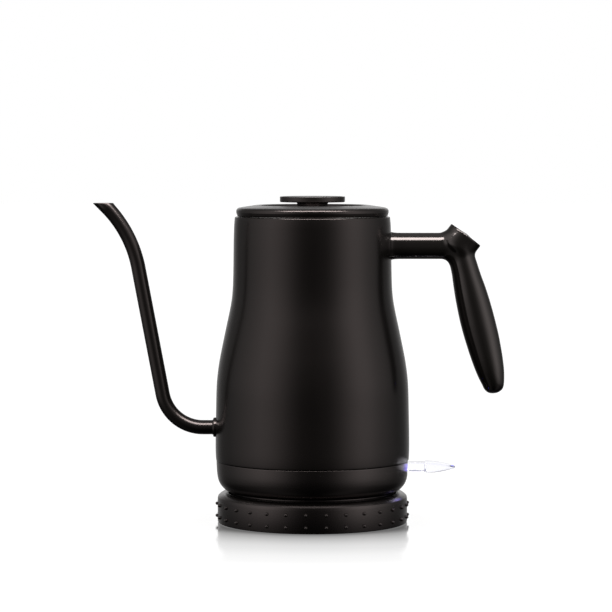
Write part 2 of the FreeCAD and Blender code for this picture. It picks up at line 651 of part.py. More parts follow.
# level cut at the mouth
s = sketch(b, "mouth_sketch", "XZ_Plane", Placement(V(0, 0, -10), Rotation()))
outline(s, [(-175, E("mouth_z")), (-120, E("mouth_z")), (-120, 250), (-175, 250)])
f = b.newObject("PartDesign::Pocket", "mouth_cut")
f.Profile = s
f.Length = 20
before = b.Shape.Volume
doc.recompute()
if b.Shape.Volume > before - 1:
    f.Reversed = True
    doc.recompute()
print("mouth cut removed", round(before - b.Shape.Volume, 2))

flange = cut(cyl(E("flange_rad"), 4.0, (-70.3, 0, E("spout_z")), "x"),
             cyl(E("port_rad"), 8.0, (-72.0, 0, E("spout_z")), "x"),
             cyl(68.73, 30.0, (0, 0, 52.0)))
keep(flange, "spout_flange")

# ================================================================ handle
# Grip: a loft of level ellipses, (height, inner x, outer x, half depth).
GRIP = [
    (197.5, 95.0, 110.0, 7.6), (190.0, 95.1, 112.6, 9.2), (183.3, 96.6, 116.0, 10.4),
    (174.8, 98.6, 119.2, 11.1), (166.3, 99.7, 122.4, 11.5), (157.8, 101.1, 125.2, 11.6),
    (149.2, 102.8, 127.6, 11.6), (140.7, 104.6, 129.8, 11.6), (132.2, 106.9, 132.0, 11.5),
    (123.7, 109.4, 133.5, 11.3), (115.2, 112.3, 134.9, 10.9), (106.6, 115.5, 135.9, 10.2),
    (100.2, 118.4, 136.1, 9.3), (96.0, 120.7, 135.7, 8.1), (92.7, 122.6, 134.5, 6.6),
    (90.9, 124.6, 132.8, 4.2)]


def ellipse(name, x0, x1, half_y, z):
    o = doc.addObject("Part::Ellipse", name)
    a, c = (x1 - x0) / 2, (x0 + x1) / 2
    if a >= half_y:
        o.MajorRadius, o.MinorRadius = a, half_y
        rot = Rotation()
    else:
        o.MajorRadius, o.MinorRadius = half_y, a
        rot = Rotation(V(0, 0, 1), 90)
    o.Placement = Placement(V(c, 0, z), rot)
    return o


secs = []
for i, (z, x0, x1, hy) in enumerate(GRIP):
    secs.append((z, x0, x1, hy))
grip = doc.addObject("Part::Feature", "grip")
wires = []
for z, x0, x1, hy in secs:
    a, c = (x1 - x0) / 2, (x0 + x1) / 2
    hy = hy * D["grip_half_y"] / 11.6
    pts3 = []
    for k in range(24):  # the same start and direction on every ring keeps the loft straight
        t = 2 * math.pi * k / 24
        pts3.append(V(c + a * math.cos(t), hy * math.sin(t), z))
    curve = Part.BSplineCurve()
    curve.interpolate(pts3, PeriodicFlag=True)
    wires.append(Part.Wire([curve.toShape()]))
grip.Shape = Part.makeLoft(wires, True, False)

arm_secs = []
for x, k in ((50.0, 1.1), (56.5, 1.06), (60.0, 1.0), (96.0, 1.0), (103.0, 0.98)):
    a, hy = D["arm_half_z"] * k, D["arm_half_y"] * k
    pts3 = []
    for j in range(32):
        t = 2 * math.pi * j / 32
        cx, sx = math.cos(t), math.sin(t)
        px = math.copysign(abs(cx) ** 0.8, cx) * a
        py = math.copysign(abs(sx) ** 0.8, sx) * hy
        pts3.append(V(x, py, D["arm_z"] + px))
    curve = Part.BSplineCurve()
    curve.interpolate(pts3, PeriodicFlag=True)
    arm_secs.append(Part.Wire([curve.toShape()]))
arm = doc.addObject("Part::Feature", "arm")
arm.Shape = Part.makeLoft(arm_secs, True, True)

FX, FZ = 108.6, 202.9  # centre of the slanted face
tilt = Rotation(V(0, 1, 0), math.degrees(math.atan2(0.6, 0.8)))
stub = cone(10.8, 12.9, 5.0, (FX - 13.2 * 0.6, 0, FZ - 13.2 * 0.8), rot=tilt)
collar = cyl(12.9, 7.3, (FX - 8.3 * 0.6, 0, FZ - 8.3 * 0.8), rot=tilt)
face = cone(12.9, 12.0, 1.0, (FX - 1.0 * 0.6, 0, FZ - 1.0 * 0.8), rot=tilt)
knuckle = ball(9.6, (103.0, 0, 194.2))
solid = fuse(arm, grip, stub, collar, face, knuckle)
hollow = cut(
    solid,
    cyl(56.15, 60.0, (0, 0, 170.0)),
    common(cyl(57.45, 60.0, (0, 0, 170.0)), block(40, 60, -6.1, 6.1, 187.4, 202.6)),
    block(50.0, 101.1, E("strip_half_y", -0.1, -1.0), E("strip_half_y", 0.1),
          E("strip_z", -0.1), E("strip_z", 0.1 + D["strip_thick"])),
    cyl(9.3, 1.6, (FX - 1.3 * 0.6, 0, FZ - 1.3 * 0.8), rot=tilt),
    cyl(1.6, 12.0, (68.0, 0, 183.0)), cyl(1.6, 12.0, (88.0, 0, 183.0)),
    cyl(2.9, 4.0, (68.0, 0, 184.0)), cyl(2.9, 4.0, (88.0, 0, 184.0)))
keep(common(hollow, block(40, 150, -30, 0, 80, 220)), "handle_front_half")
keep(common(hollow, block(40, 150, 0, 30, 80, 220)), "handle_rear_half")
keep(fuse(cyl(9.2, 1.0, (FX - 1.25 * 0.6, 0, FZ - 1.25 * 0.8), rot=tilt),
          cone(9.2, 8.8, 0.3, (FX - 0.25 * 0.6, 0, FZ - 0.25 * 0.8), rot=tilt)), "thumb_cap")
pad = common(cut(cyl(57.35, 14.8, (0, 0, 187.6)), cyl(55.95, 20.0, (0, 0, 185.0))),
             block(50, 60, -6.0, 6.0, 187.6, 202.4))
strip = cut(block(54.0, 101.0, E("strip_half_y", 0, -1.0), E("strip_half_y"),
                  E("strip_z"), E("strip_z", D["strip_thick"])), cyl(55.95, 20.0, (0, 0, 185.0)))
keep(cut(fuse(pad, strip), cyl(1.38, 6.0, (68.0, 0, 192.0)), cyl(1.38, 6.0, (88.0, 0, 192.0))),
     "handle_bracket")
group("handle_screws", [screw((x, 0, 188.0), "z", 2.7, 1.6, 1.3, 6.8) for x in (68.0, 88.0)])

# ================================================================ switch
# Clear lever: hub on its pin, neck through the window, then a lens-shaped thumb pad.
hub = cyl(2.6, 25.0, (E("pivot_x"), -12.5, E("pivot_z")), "y")
web = block(60.0, 69.0, -7.6, 7.6, 36.4, 41.0)
neck = block(68.6, 81.0, -7.6, 7.6, 34.9, 41.2)


def lens_section(x, half_y, half_z, zc):
    pts3 = []
    for j in range(24):
        t = 2 * math.pi * j / 24
        pts3.append(V(x, half_y * math.cos(t), zc + half_z * math.sin(t)))
    c = Part.BSplineCurve()
    c.interpolate(pts3, PeriodicFlag=True)
    return Part.Wire([c.toShape()])


lens = doc.addObject("Part::Feature", "lens")
lens.Shape = Part.makeLoft([
    lens_section(80.0, 12.6, 3.5, 38.0), lens_section(82.0, 13.3, 3.75, 38.0),
    lens_section(86.0, 13.8, 3.75, 38.0), lens_section(91.0, 12.9, 3.35, 38.0),
    lens_section(96.0, 10.2, 2.5, 37.95), lens_section(99.5, 6.6, 1.6, 37.9),
    lens_section(101.3, 3.0, 0.8, 37.9)], True, False)
keep(cut(fuse(hub, web, neck, lens),
         cyl(E("pin_bore"), 30.0, (E("pivot_x"), -15.0, E("pivot_z")), "y")), "switch_paddle")
# Trip lever between the steam disc and the switch.
trip = cut(
    fuse(cyl(2.6, 24.0, (E("trip_x"), -12.0, E("pivot_z")), "y"),
         block(48.6, 51.4, -5.0, 5.0, 33.0, 39.5), block(48.9, 51.1, -5.0, 5.0, 40.0, 45.5),
         block(46.4, 49.6, -2.0, 2.0, 43.6, 45.4)),
    cyl(E("pin_bore"), 30.0, (E("trip_x"), -15.0, E("pivot_z")), "y"))
keep(trip, "trip_lever")

# ================================================================ lid
turned("lid_cover", [
    (53.05, 216.05), (53.4, 216.9), (E("lid_rad"), 218.6), (E("lid_rad", -0.15), 220.2),
    (E("lid_rad", -0.5), 220.7), (53.0, 221.05), (50.8, 221.7), (45.6, 222.75),
    (E("crest_rad"), E("crest_z")), (39.4, E("crest_z", -0.15)), (38.3, 222.8), (37.0, 221.6),
    (35.6, 220.3), (33.6, 219.3), (31.0, 218.9), (3.2, 218.2), (3.2, 217.2), (31.2, 217.9),
    (34.1, 218.4), (36.4, 219.7), (38.2, 221.4), (39.6, 222.5), (40.4, 222.65), (45.4, 221.7),
    (50.5, 220.65), (52.0, 220.1), (52.7, 218.6), (52.3, 217.0), (51.9, 216.05)])
b = turned("lid_inner", [
    (0, E("plug_z")), (E("plug_rad", -0.9), E("plug_z")), (E("plug_rad"), E("plug_z", 0.9)),
    (E("plug_rad"), 216.0), (51.4, 216.0), (51.4, 216.7), (E("plug_rad", -0.8), 216.7),
    (E("plug_rad", -0.8), E("plug_z", 1.0)), (4.2, E("plug_z", 1.0)), (4.2, 217.1), (0, 217.1)])
doc.recompute()
pad_up(b, "bolt_hole", [(0, 0, 1.6)], 200.0, 20.0, cut=True)
doc.recompute()
pad_up(b, "vents", [(x, y, 1.5) for x, y in ring_points(6, 24.0, 30)], 200.0, 6.0, cut=True)
turned("lid_seal", [(E("plug_rad"), 211.0), (49.0, 210.9), (E("mouth_rad", -0.3), 211.6),
                    (E("mouth_rad", -0.3), 212.4), (49.0, 212.8), (E("mouth_rad", -0.3), 213.2),
                    (E("mouth_rad", -0.3), 214.0), (49.0, 214.7), (E("plug_rad"), 214.6)])
b = turned("lid_knob", [
    (0, 218.3), (10.2, 218.5), (E("stem_rad"), 219.1), (E("stem_rad"), 224.6), (11.4, 225.5),
    (12.6, E("knob_low_z")), (E("knob_rad", -0.9), E("knob_low_z")),
    (E("knob_rad", -0.2), E("knob_low_z", 0.3)), (E("knob_rad"), E("knob_low_z", 0.9)),
    (E("knob_rad"), E("knob_top_z", -1.1)), (E("knob_rad", -0.3), E("knob_top_z", -0.4)),
    (E("knob_rad", -1.1), E("knob_top_z")), (0, E("knob_top_z"))])
doc.recompute()
pad_up(b, "bolt_hole", [(0, 0, 1.38)], 217.0, 9.0, cut=True)
keep(screw((0, 0, E("plug_z")), "z", 3.2, 2.0, 1.3, 20.5), "lid_screw")

# ================================================================ write
doc.recompute()
bad = [o.Name + ":" + ",".join(o.State) for o in doc.Objects
       if "Invalid" in o.State or "Error" in o.State]
if bad:
    raise SystemExit("failed objects: %s" % bad)
for o in nodes:
    if o.Shape.isNull() or not o.Shape.isValid() or not o.Shape.Solids:
        raise SystemExit("bad shape: " + o.Label)
os.makedirs("parts", exist_ok=True)
# The kettle and the connector it stands on are drawn from a seat at height zero and sit this much higher.
STAYS = {"base_sleeve", "base_tray", "base_deck", "base_screws", "cord_gland", "cord_clamp", "clamp_screws"}
for o in nodes:
    shape = o.Shape.copy()
    if o.Label not in STAYS:
        shape.translate(V(0, 0, D["seat_lift"]))
    shape.exportStep("parts/%s.step" % o.Label)
    bb = shape.BoundBox
    print("%-20s solids %d  vol %9.1f  x %.1f %.1f  y %.1f %.1f  z %.1f %.1f" % (
        o.Label, len(o.Shape.Solids), o.Shape.Volume, bb.XMin, bb.XMax, bb.YMin, bb.YMax, bb.ZMin, bb.ZMax))
print(len(nodes), "nodes")
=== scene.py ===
import json
import math
import bpy
import bmesh
import numpy as np
from mathutils import Matrix, Vector


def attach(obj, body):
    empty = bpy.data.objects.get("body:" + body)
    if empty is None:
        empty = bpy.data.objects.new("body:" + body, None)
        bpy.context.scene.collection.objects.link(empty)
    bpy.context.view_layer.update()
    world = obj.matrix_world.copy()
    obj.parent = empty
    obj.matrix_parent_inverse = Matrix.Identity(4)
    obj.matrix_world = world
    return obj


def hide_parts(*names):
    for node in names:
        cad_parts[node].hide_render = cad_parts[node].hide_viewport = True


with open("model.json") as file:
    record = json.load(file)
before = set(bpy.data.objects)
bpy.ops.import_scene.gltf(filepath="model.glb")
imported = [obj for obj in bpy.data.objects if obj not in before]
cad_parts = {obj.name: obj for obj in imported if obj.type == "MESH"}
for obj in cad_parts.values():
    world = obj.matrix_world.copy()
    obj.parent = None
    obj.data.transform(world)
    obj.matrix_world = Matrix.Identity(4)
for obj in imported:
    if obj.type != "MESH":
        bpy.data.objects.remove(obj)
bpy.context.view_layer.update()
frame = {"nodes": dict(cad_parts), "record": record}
nodes = frame["nodes"]


MM = 0.001
scene = bpy.context.scene
scene.view_settings.view_transform = "Standard"
scene.view_settings.look = "None"
scene.view_settings.exposure = 0.0
scene.view_settings.gamma = 1.0
rng = np.random.default_rng(7)

# ------------------------------------------------------------------ camera
cam_data = bpy.data.cameras.new("camera")
cam_data.sensor_width = 36.0
cam_data.lens = 158.1
cam_data.clip_end = 30.0
cam = bpy.data.objects.new("camera", cam_data)
scene.collection.objects.link(cam)
cam.location = (-0.00455, -1.900, 0.268)
target = Vector((-0.00455, 0.0, 0.1533))
cam.rotation_euler = (target - cam.location).to_track_quat("-Z", "Y").to_euler()
scene.camera = cam


# ------------------------------------------------------------------ mesh tools
def mesh_object(name, verts, faces, smooth=True):
    """verts in millimetres."""
    me = bpy.data.meshes.new(name)
    me.from_pydata([tuple(np.asarray(v, float) * MM) for v in verts], [], [tuple(map(int, f)) for f in faces])
    me.validate()
    me.update()
    ob = bpy.data.objects.new(name, me)
    scene.collection.objects.link(ob)
    if smooth:
        me.polygons.foreach_set("use_smooth", [True] * len(me.polygons))
    return ob


def sharpen(ob, angle=35.0):
    """Smooth shading with hard edges where faces meet at more than angle."""
    me = ob.data
    bm = bmesh.new()
    bm.from_mesh(me)
    lim = math.radians(angle)
    for e in bm.edges:
        e.smooth = not (len(e.link_faces) == 2 and e.calc_face_angle(0.0) > lim)
    for f in bm.faces:
        f.smooth = True
    bm.to_mesh(me)
    bm.free()
    return ob


def pchip(x, y, xs):
    """Monotone cubic interpolation."""
    x, y, xs = np.asarray(x, float), np.asarray(y, float), np.asarray(xs, float)
    d = np.diff(y) / np.diff(x)
    h = np.diff(x)
    m = np.zeros(len(x))
    m[0], m[-1] = d[0], d[-1]
    for i in range(1, len(x) - 1):
        if d[i - 1] * d[i] > 0:
            w1, w2 = 2 * h[i] + h[i - 1], h[i] + 2 * h[i - 1]
            m[i] = (w1 + w2) / (w1 / d[i - 1] + w2 / d[i])
    i = np.clip(np.searchsorted(x, xs) - 1, 0, len(x) - 2)
    t = (xs - x[i]) / h[i]
    return ((2 * t**3 - 3 * t**2 + 1) * y[i] + (t**3 - 2 * t**2 + t) * h[i] * m[i]
            + (-2 * t**3 + 3 * t**2) * y[i + 1] + (t**3 - t**2) * h[i] * m[i + 1])


def blur(y, sigma):
    k = int(4 * sigma) + 1
    w = np.exp(-0.5 * (np.arange(-k, k + 1) / sigma) ** 2)
    w /= w.sum()
    p = np.concatenate([2 * y[0] - y[k:0:-1], y, 2 * y[-1] - y[-2:-k - 2:-1]])
    return np.convolve(p, w, mode="valid")


def rounded(points, radii, steps=6):
    """A polyline with its corners rounded: radii is a number or one per point (0 keeps a corner)."""
    pts = [np.array(p, float) for p in points]
    n = len(pts)
    out = []
    for i in range(n):
        r = radii if np.isscalar(radii) else radii[i]
        p, a, b = pts[i], pts[i - 1], pts[(i + 1) % n]
        u, v = a - p, b - p
        lu, lv = np.linalg.norm(u), np.linalg.norm(v)
        if r <= 0 or lu < 1e-9 or lv < 1e-9:
            out.append(p)
            continue
        u, v = u / lu, v / lv
        ang = math.acos(max(-1.0, min(1.0, float(u @ v))))
        if ang > math.pi - 0.02:
            out.append(p)
            continue
        cut = min(r / math.tan(ang / 2), 0.48 * lu, 0.48 * lv)
        rr = cut * math.tan(ang / 2)
        c = p + (u + v) / np.linalg.norm(u + v) * rr / math.sin(ang / 2)
        s, e = p + u * cut, p + v * cut
        a0, a1 = math.atan2(*(s - c)[::-1]), math.atan2(*(e - c)[::-1])
        d = (a1 - a0 + math.pi) % (2 * math.pi) - math.pi
        for k in range(steps + 1):
            t = a0 + d * k / steps
            out.append(c + rr * np.array([math.cos(t), math.sin(t)]))
    return out


def lathe(name, profile, seg=240, sharp=38.0, wobble=None):
    """Turns a closed (r, z) outline in millimetres about the Z axis into a closed mesh."""
    prof = []
    for p in profile:
        if not prof or np.hypot(p[0] - prof[-1][0], p[1] - prof[-1][1]) > 1e-4:
            prof.append((max(0.0, float(p[0])), float(p[1])))
    if np.hypot(prof[0][0] - prof[-1][0], prof[0][1] - prof[-1][1]) < 1e-4:
        prof.pop()
    verts, rings = [], []
    for r, z in prof:
        if r < 1e-6:
            rings.append([len(verts)])
            verts.append((0, 0, z))
        else:
            ids = []
            for k in range(seg):
                t = 2 * math.pi * k / seg
                ids.append(len(verts))
                verts.append((r * math.cos(t), r * math.sin(t), z))
            rings.append(ids)
    faces = []
    n = len(rings)
    for i in range(n):
        a, b = rings[i], rings[(i + 1) % n]
        if len(a) == 1 and len(b) == 1:
            continue
        for k in range(seg):
            k2 = (k + 1) % seg
            if len(a) == 1:
                faces.append((a[0], b[k2], b[k]))
            elif len(b) == 1:
                faces.append((a[k], a[k2], b[0]))
            else:
                faces.append((a[k], a[k2], b[k2], b[k]))
    ob = mesh_object(name, verts, faces)
    fix_normals(ob)
    return sharpen(ob, sharp)


def fix_normals(ob):
    bm = bmesh.new()
    bm.from_mesh(ob.data)
    bmesh.ops.recalc_face_normals(bm, faces=bm.faces)
    bm.to_mesh(ob.data)
    bm.free()


def boolean(ob, tool, op="DIFFERENCE"):
    m = ob.modifiers.new("cut", "BOOLEAN")
    m.operation = op
    m.object = tool
    m.solver = "EXACT"
    dep = bpy.context.evaluated_depsgraph_get()
    dep.update()
    me = bpy.data.meshes.new_from_object(ob.evaluated_get(dep))
    ob.modifiers.clear()
    old = ob.data
    ob.data = me
    bpy.data.meshes.remove(old)
    bpy.data.objects.remove(tool)
    return ob


def rod(name, r, p0, p1, seg=48):
    """A plain cylinder between two points, used to cut holes."""
    p0, p1 = np.array(p0, float), np.array(p1, float)
    d = p1 - p0
    L = np.linalg.norm(d)
    d /= L
    a = np.array([0, 0, 1.0]) if abs(d[2]) < 0.9 else np.array([1.0, 0, 0])
    u = np.cross(d, a)
    u /= np.linalg.norm(u)
    v = np.cross(d, u)
    verts, faces = [], []
    for p in (p0, p1):
        for k in range(seg):
            t = 2 * math.pi * k / seg
            verts.append(p + r * (math.cos(t) * u + math.sin(t) * v))
    for k in range(seg):
        k2 = (k + 1) % seg
        faces.append((k, k2, seg + k2, seg + k))
    faces.append(tuple(range(seg))[::-1])
    faces.append(tuple(range(seg, 2 * seg)))
    ob = mesh_object(name, verts, faces)
    fix_normals(ob)
    return ob


def block(name, lo, hi):
    x0, y0, z0 = lo
    x1, y1, z1 = hi
    v = [(x0, y0, z0), (x1, y0, z0), (x1, y1, z0), (x0, y1, z0),
         (x0, y0, z1), (x1, y0, z1), (x1, y1, z1), (x0, y1, z1)]
    f = [(3, 2, 1, 0), (4, 5, 6, 7), (0, 1, 5, 4), (1, 2, 6, 5), (2, 3, 7, 6), (3, 0, 4, 7)]
    return mesh_object(name, v, f, smooth=False)


def join(name, obs):
    bm = bmesh.new()
    for o in obs:
        bm.from_mesh(o.data)
        bpy.data.objects.remove(o)
    me = bpy.data.meshes.new(name)
    bm.to_mesh(me)
    bm.free()
    ob = bpy.data.objects.new(name, me)
    scene.collection.objects.link(ob)
    return ob


def surface_nets(F, origin, h):
    """A quad mesh of the surface F = 0 of a sampled field."""
    shape = np.array(F.shape) - 1
    acc = np.zeros(tuple(shape) + (3,))
    cnt = np.zeros(tuple(shape), int)
    found = []
    for ax in range(3):
        n = F.shape[ax]
        a = np.take(F, np.arange(n - 1), axis=ax)
        b = np.take(F, np.arange(1, n), axis=ax)
        cross = (a < 0) != (b < 0)
        idx = np.argwhere(cross)
        av, bv = a[cross], b[cross]
        t = av / (av - bv)
        p = idx.astype(float)
        p[:, ax] += t
        o = [k for k in range(3) if k != ax]
        for d0 in (0, -1):
            for d1 in (0, -1):
                c = idx.copy()
                c[:, o[0]] += d0
                c[:, o[1]] += d1
                ok = np.all((c >= 0) & (c < shape), axis=1)
                cc = c[ok]
                np.add.at(acc, tuple(cc.T), p[ok])
                np.add.at(cnt, tuple(cc.T), 1)
        found.append((ax, o, idx, av < 0))
    vid = -np.ones(tuple(shape), int)
    used = np.argwhere(cnt > 0)
    vid[tuple(used.T)] = np.arange(len(used))
    verts = acc[tuple(used.T)] / cnt[tuple(used.T)][:, None] * h + origin
    faces = []
    for ax, o, idx, neg in found:
        ok = (idx[:, o[0]] > 0) & (idx[:, o[1]] > 0) & np.all(idx < np.array(F.shape) - 1, axis=1)
        i, s = idx[ok], neg[ok]

        def at(d0, d1):
            c = i.copy()
            c[:, o[0]] += d0
            c[:, o[1]] += d1
            return vid[tuple(c.T)]

        q = np.stack([at(-1, -1), at(0, -1), at(0, 0), at(-1, 0)], axis=1)
        flip = s if ax != 1 else ~s
        q[~flip] = q[~flip][:, ::-1]
        faces.append(q)
    return verts, np.concatenate(faces)


def smin(a, b, k):
    h = np.clip(0.5 + 0.5 * (b - a) / k, 0, 1)
    return b + (a - b) * h - k * h * (1 - h)


def smax(a, b, k):
    return -smin(-a, -b, k)


def project(f, P, steps=4, eps=0.02):
    """Moves points onto f = 0."""
    for _ in range(steps):
        v = f(P)
        g = np.stack([(f(P + d) - f(P - d)) / (2 * eps)
                      for d in np.eye(3) * eps], axis=1)
        n2 = (g**2).sum(1)
        P = P - (v / np.maximum(n2, 1e-6))[:, None] * g * 0.9
    return P


# ------------------------------------------------------------------ materials
def material(name):
    m = bpy.data.materials.new(name)
    m.use_nodes = True
    nt = m.node_tree
    bsdf = nt.nodes["Principled BSDF"]
    return m, nt, bsdf


def add(nt, kind, **inputs):
    n = nt.nodes.new(kind)
    for k, v in inputs.items():
        key = k.replace("_", " ")
        if key in n.inputs:
            n.inputs[key].default_value = v
        else:
            setattr(n, k, v)
    return n


def noise(nt, coord, scale, detail=3.0, rough=0.55):
    n = add(nt, "ShaderNodeTexNoise", Scale=scale, Detail=detail, Roughness=rough)
    nt.links.new(coord, n.inputs["Vector"])
    return n.outputs["Fac"]


def ramp(nt, fac, stops):
    r = nt.nodes.new("ShaderNodeValToRGB")
    el = r.color_ramp.elements
    el[0].position, el[0].color = stops[0][0], (*stops[0][1], 1)
    el[1].position, el[1].color = stops[-1][0], (*stops[-1][1], 1)
    for pos, col in stops[1:-1]:
        e = el.new(pos)
        e.color = (*col, 1)
    nt.links.new(fac, r.inputs["Fac"])
    return r.outputs["Color"]


def remap(nt, v, a, b, c, d):
    n = add(nt, "ShaderNodeMapRange")
    n.inputs["From Min"].default_value = a
    n.inputs["From Max"].default_value = b
    n.inputs["To Min"].default_value = c
    n.inputs["To Max"].default_value = d
    nt.links.new(v, n.inputs["Value"])
    return n.outputs["Result"]


def bump(nt, height, strength, distance, normal=None):
    b = add(nt, "ShaderNodeBump", Strength=strength, Distance=distance)
    nt.links.new(height, b.inputs["Height"])
    if normal is not None:
        nt.links.new(normal, b.inputs["Normal"])
    return b.outputs["Normal"]


def math_node(nt, op, a, b=None):
    n = nt.nodes.new("ShaderNodeMath")
    n.operation = op
    for i, v in enumerate((a, b)):
        if v is None:
            continue
        if isinstance(v, (int, float)):
            n.inputs[i].default_value = v
        else:
            nt.links.new(v, n.inputs[i])
    return n.outputs[0]


def coat(name, dark, light, rough, rough_var, grain, grain_scale, blotch=14.0, metallic=0.0,
         spec=0.5, tint=(1.0, 0.86, 0.84), coat_weight=0.0, coat_rough=0.1, ior=1.5, extra=None):
    """A finish with fine grain in its bump, slow colour drift and uneven gloss."""
    m, nt, b = material(name)
    co = nt.nodes.new("ShaderNodeTexCoord").outputs["Object"]
    slow = noise(nt, co, blotch, 4.0)
    fine = noise(nt, co, grain_scale, 2.0, 0.6)
    col = ramp(nt, slow, [(0.3, dark), (0.7, light)])
    nt.links.new(col, b.inputs["Base Color"])
    mixed = math_node(nt, "ADD", math_node(nt, "MULTIPLY", slow, 0.6), math_node(nt, "MULTIPLY", fine, 0.4))
    nt.links.new(remap(nt, mixed, 0.3, 0.7, rough - rough_var, rough + rough_var), b.inputs["Roughness"])
    nrm = bump(nt, fine, grain, 0.0002)
    if extra:
        nrm = extra(nt, co, nrm)
    nt.links.new(nrm, b.inputs["Normal"])
    b.inputs["Metallic"].default_value = metallic
    b.inputs["Specular IOR Level"].default_value = spec
    b.inputs["Specular Tint"].default_value = (*tint, 1)
    b.inputs["IOR"].default_value = ior
    b.inputs["Coat Weight"].default_value = coat_weight
    b.inputs["Coat Roughness"].default_value = coat_rough
    return m


K = 1.0
M = {}
M["coat_black"] = coat("coat_black", (0.0016, 0.0014, 0.0013), (0.0022, 0.0020, 0.0018), 0.24, 0.02, 0.05, 2600.0, spec=0.55)
M["coat_body"] = coat("coat_body", (0.0016, 0.0014, 0.0013), (0.0022, 0.0020, 0.0018), 0.22, 0.02, 0.06, 2600.0)
M["plastic_black"] = coat("plastic_black", (0.0016, 0.0014, 0.0013), (0.0022, 0.0020, 0.0018), 0.24, 0.02, 0.05, 1800.0, spec=0.9)
M["plastic_dark"] = coat("plastic_dark", (0.022, 0.022, 0.024), (0.030, 0.030, 0.033), 0.50, 0.05, 0.15, 900.0)
M["rubber_black"] = coat("rubber_black", (0.0016, 0.0014, 0.0013), (0.0024, 0.0021, 0.0019), 0.25, 0.03, 0.10, 1500.0, spec=0.88)
M["silicone_grey"] = coat("silicone_grey", (0.32, 0.32, 0.31), (0.40, 0.40, 0.39), 0.45, 0.05, 0.1, 800.0)
M["board_green"] = coat("board_green", (0.012, 0.07, 0.03), (0.02, 0.10, 0.045), 0.35, 0.06, 0.1, 700.0, blotch=300.0)
M["tube_white"] = coat("tube_white", (0.62, 0.62, 0.59), (0.72, 0.72, 0.69), 0.42, 0.05, 0.06, 900.0)
M["led_blue"] = coat("led_blue", (0.10, 0.18, 0.75), (0.16, 0.26, 0.85), 0.25, 0.03, 0.03, 900.0)
lb = M["led_blue"].node_tree.nodes["Principled BSDF"]
lb.inputs["Emission Color"].default_value = (0.14, 0.12, 1.0, 1)
lb.inputs["Emission Strength"].default_value = 16.0


def brushed(name, dark, light, rough, stretch, anis=0.4):
    """Metal with fine scratches round the turning axis."""
    m, nt, b = material(name)
    co = nt.nodes.new("ShaderNodeTexCoord").outputs["Object"]
    mp = nt.nodes.new("ShaderNodeMapping")
    mp.inputs["Scale"].default_value = stretch
    nt.links.new(co, mp.inputs["Vector"])
    lines = noise(nt, mp.outputs["Vector"], 900.0, 4.0, 0.7)
    slow = noise(nt, co, 22.0, 3.0)
    nt.links.new(ramp(nt, slow, [(0.3, dark), (0.7, light)]), b.inputs["Base Color"])
    nt.links.new(remap(nt, lines, 0.3, 0.7, rough - 0.06, rough + 0.08), b.inputs["Roughness"])
    nt.links.new(bump(nt, lines, 0.25, 0.0001), b.inputs["Normal"])
    b.inputs["Metallic"].default_value = 1.0
    return m


M["steel"] = brushed("steel", (0.50, 0.49, 0.48), (0.60, 0.59, 0.58), 0.30, (1, 1, 0.05))
M["zinc_steel"] = brushed("zinc_steel", (0.50, 0.52, 0.55), (0.60, 0.61, 0.64), 0.32, (1, 1, 1))
M["brass"] = brushed("brass", (0.62, 0.44, 0.17), (0.74, 0.56, 0.26), 0.28, (1, 1, 0.2))
M["aluminium"] = brushed("aluminium", (0.66, 0.66, 0.67), (0.76, 0.76, 0.77), 0.36, (1, 0.05, 1))
M["bimetal"] = brushed("bimetal", (0.50, 0.46, 0.40), (0.60, 0.56, 0.48), 0.35, (1, 1, 1))


def parting_line(nt, co, nrm):
    """A fine groove where the two halves of the grip meet."""
    sep = nt.nodes.new("ShaderNodeSeparateXYZ")
    nt.links.new(co, sep.inputs[0])
    d = math_node(nt, "ABSOLUTE", sep.outputs["Y"])
    h = remap(nt, d, 0.0, 0.00016, 0.0, 1.0)
    return bump(nt, h, 0.35, 0.0001, nrm)


M["handle_black"] = coat("handle_black", (0.0034, 0.0031, 0.0028), (0.0044, 0.0040, 0.0037), 0.13, 0.012, 0.02, 1200.0,
                         spec=0.72, tint=(1.0, 0.90, 0.88), extra=parting_line)
M["knob_black"] = coat("knob_black", (0.0040, 0.0037, 0.0034), (0.0052, 0.0048, 0.0044), 0.26, 0.02, 0.04, 1200.0)

# clear lever, with a painted glow: a faint blue emission stands in for the LED light inside it
m, nt, b = material("clear_plastic")
co = nt.nodes.new("ShaderNodeTexCoord").outputs["Object"]
streak_map = nt.nodes.new("ShaderNodeMapping")
streak_map.inputs["Scale"].default_value = (0.12, 1.0, 1.0)
nt.links.new(co, streak_map.inputs["Vector"])
streak = noise(nt, streak_map.outputs["Vector"], 420.0, 2.0)
nt.links.new(ramp(nt, streak, [(0.35, (0.97, 0.97, 0.99)), (0.65, (0.995, 0.995, 1.0))]), b.inputs["Base Color"])
nt.links.new(remap(nt, streak, 0.3, 0.7, 0.03, 0.09), b.inputs["Roughness"])
b.inputs["Transmission Weight"].default_value = 1.0
b.inputs["IOR"].default_value = 1.16
# painted glow: the lever gives off faint blue light of its own, in place of the LED's light passing through the
# plastic
b.inputs["Emission Color"].default_value = (0.30, 0.32, 1.0, 1)
b.inputs["Emission Strength"].default_value = 0.03
M["clear_plastic"] = m

slot_of = {s["node"]: s["material_slot"] for s in frame["record"]["subparts"]}


def dress(ob, mat):
    ob.data.materials.clear()
    ob.data.materials.append(mat)
    return ob


for n, ob in nodes.items():
    dress(ob, M[slot_of[n]])


SEAT = 1.0  # skins of the kettle are drawn this much below where they sit


def piece(ob, body, slot, replaced, mat=None):
    if body != "base":
        ob.data.transform(Matrix.Translation((0, 0, SEAT * MM)))
    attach(ob, body)
    if replaced:
        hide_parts(*replaced)
    dress(ob, mat or M[slot])
    return ob


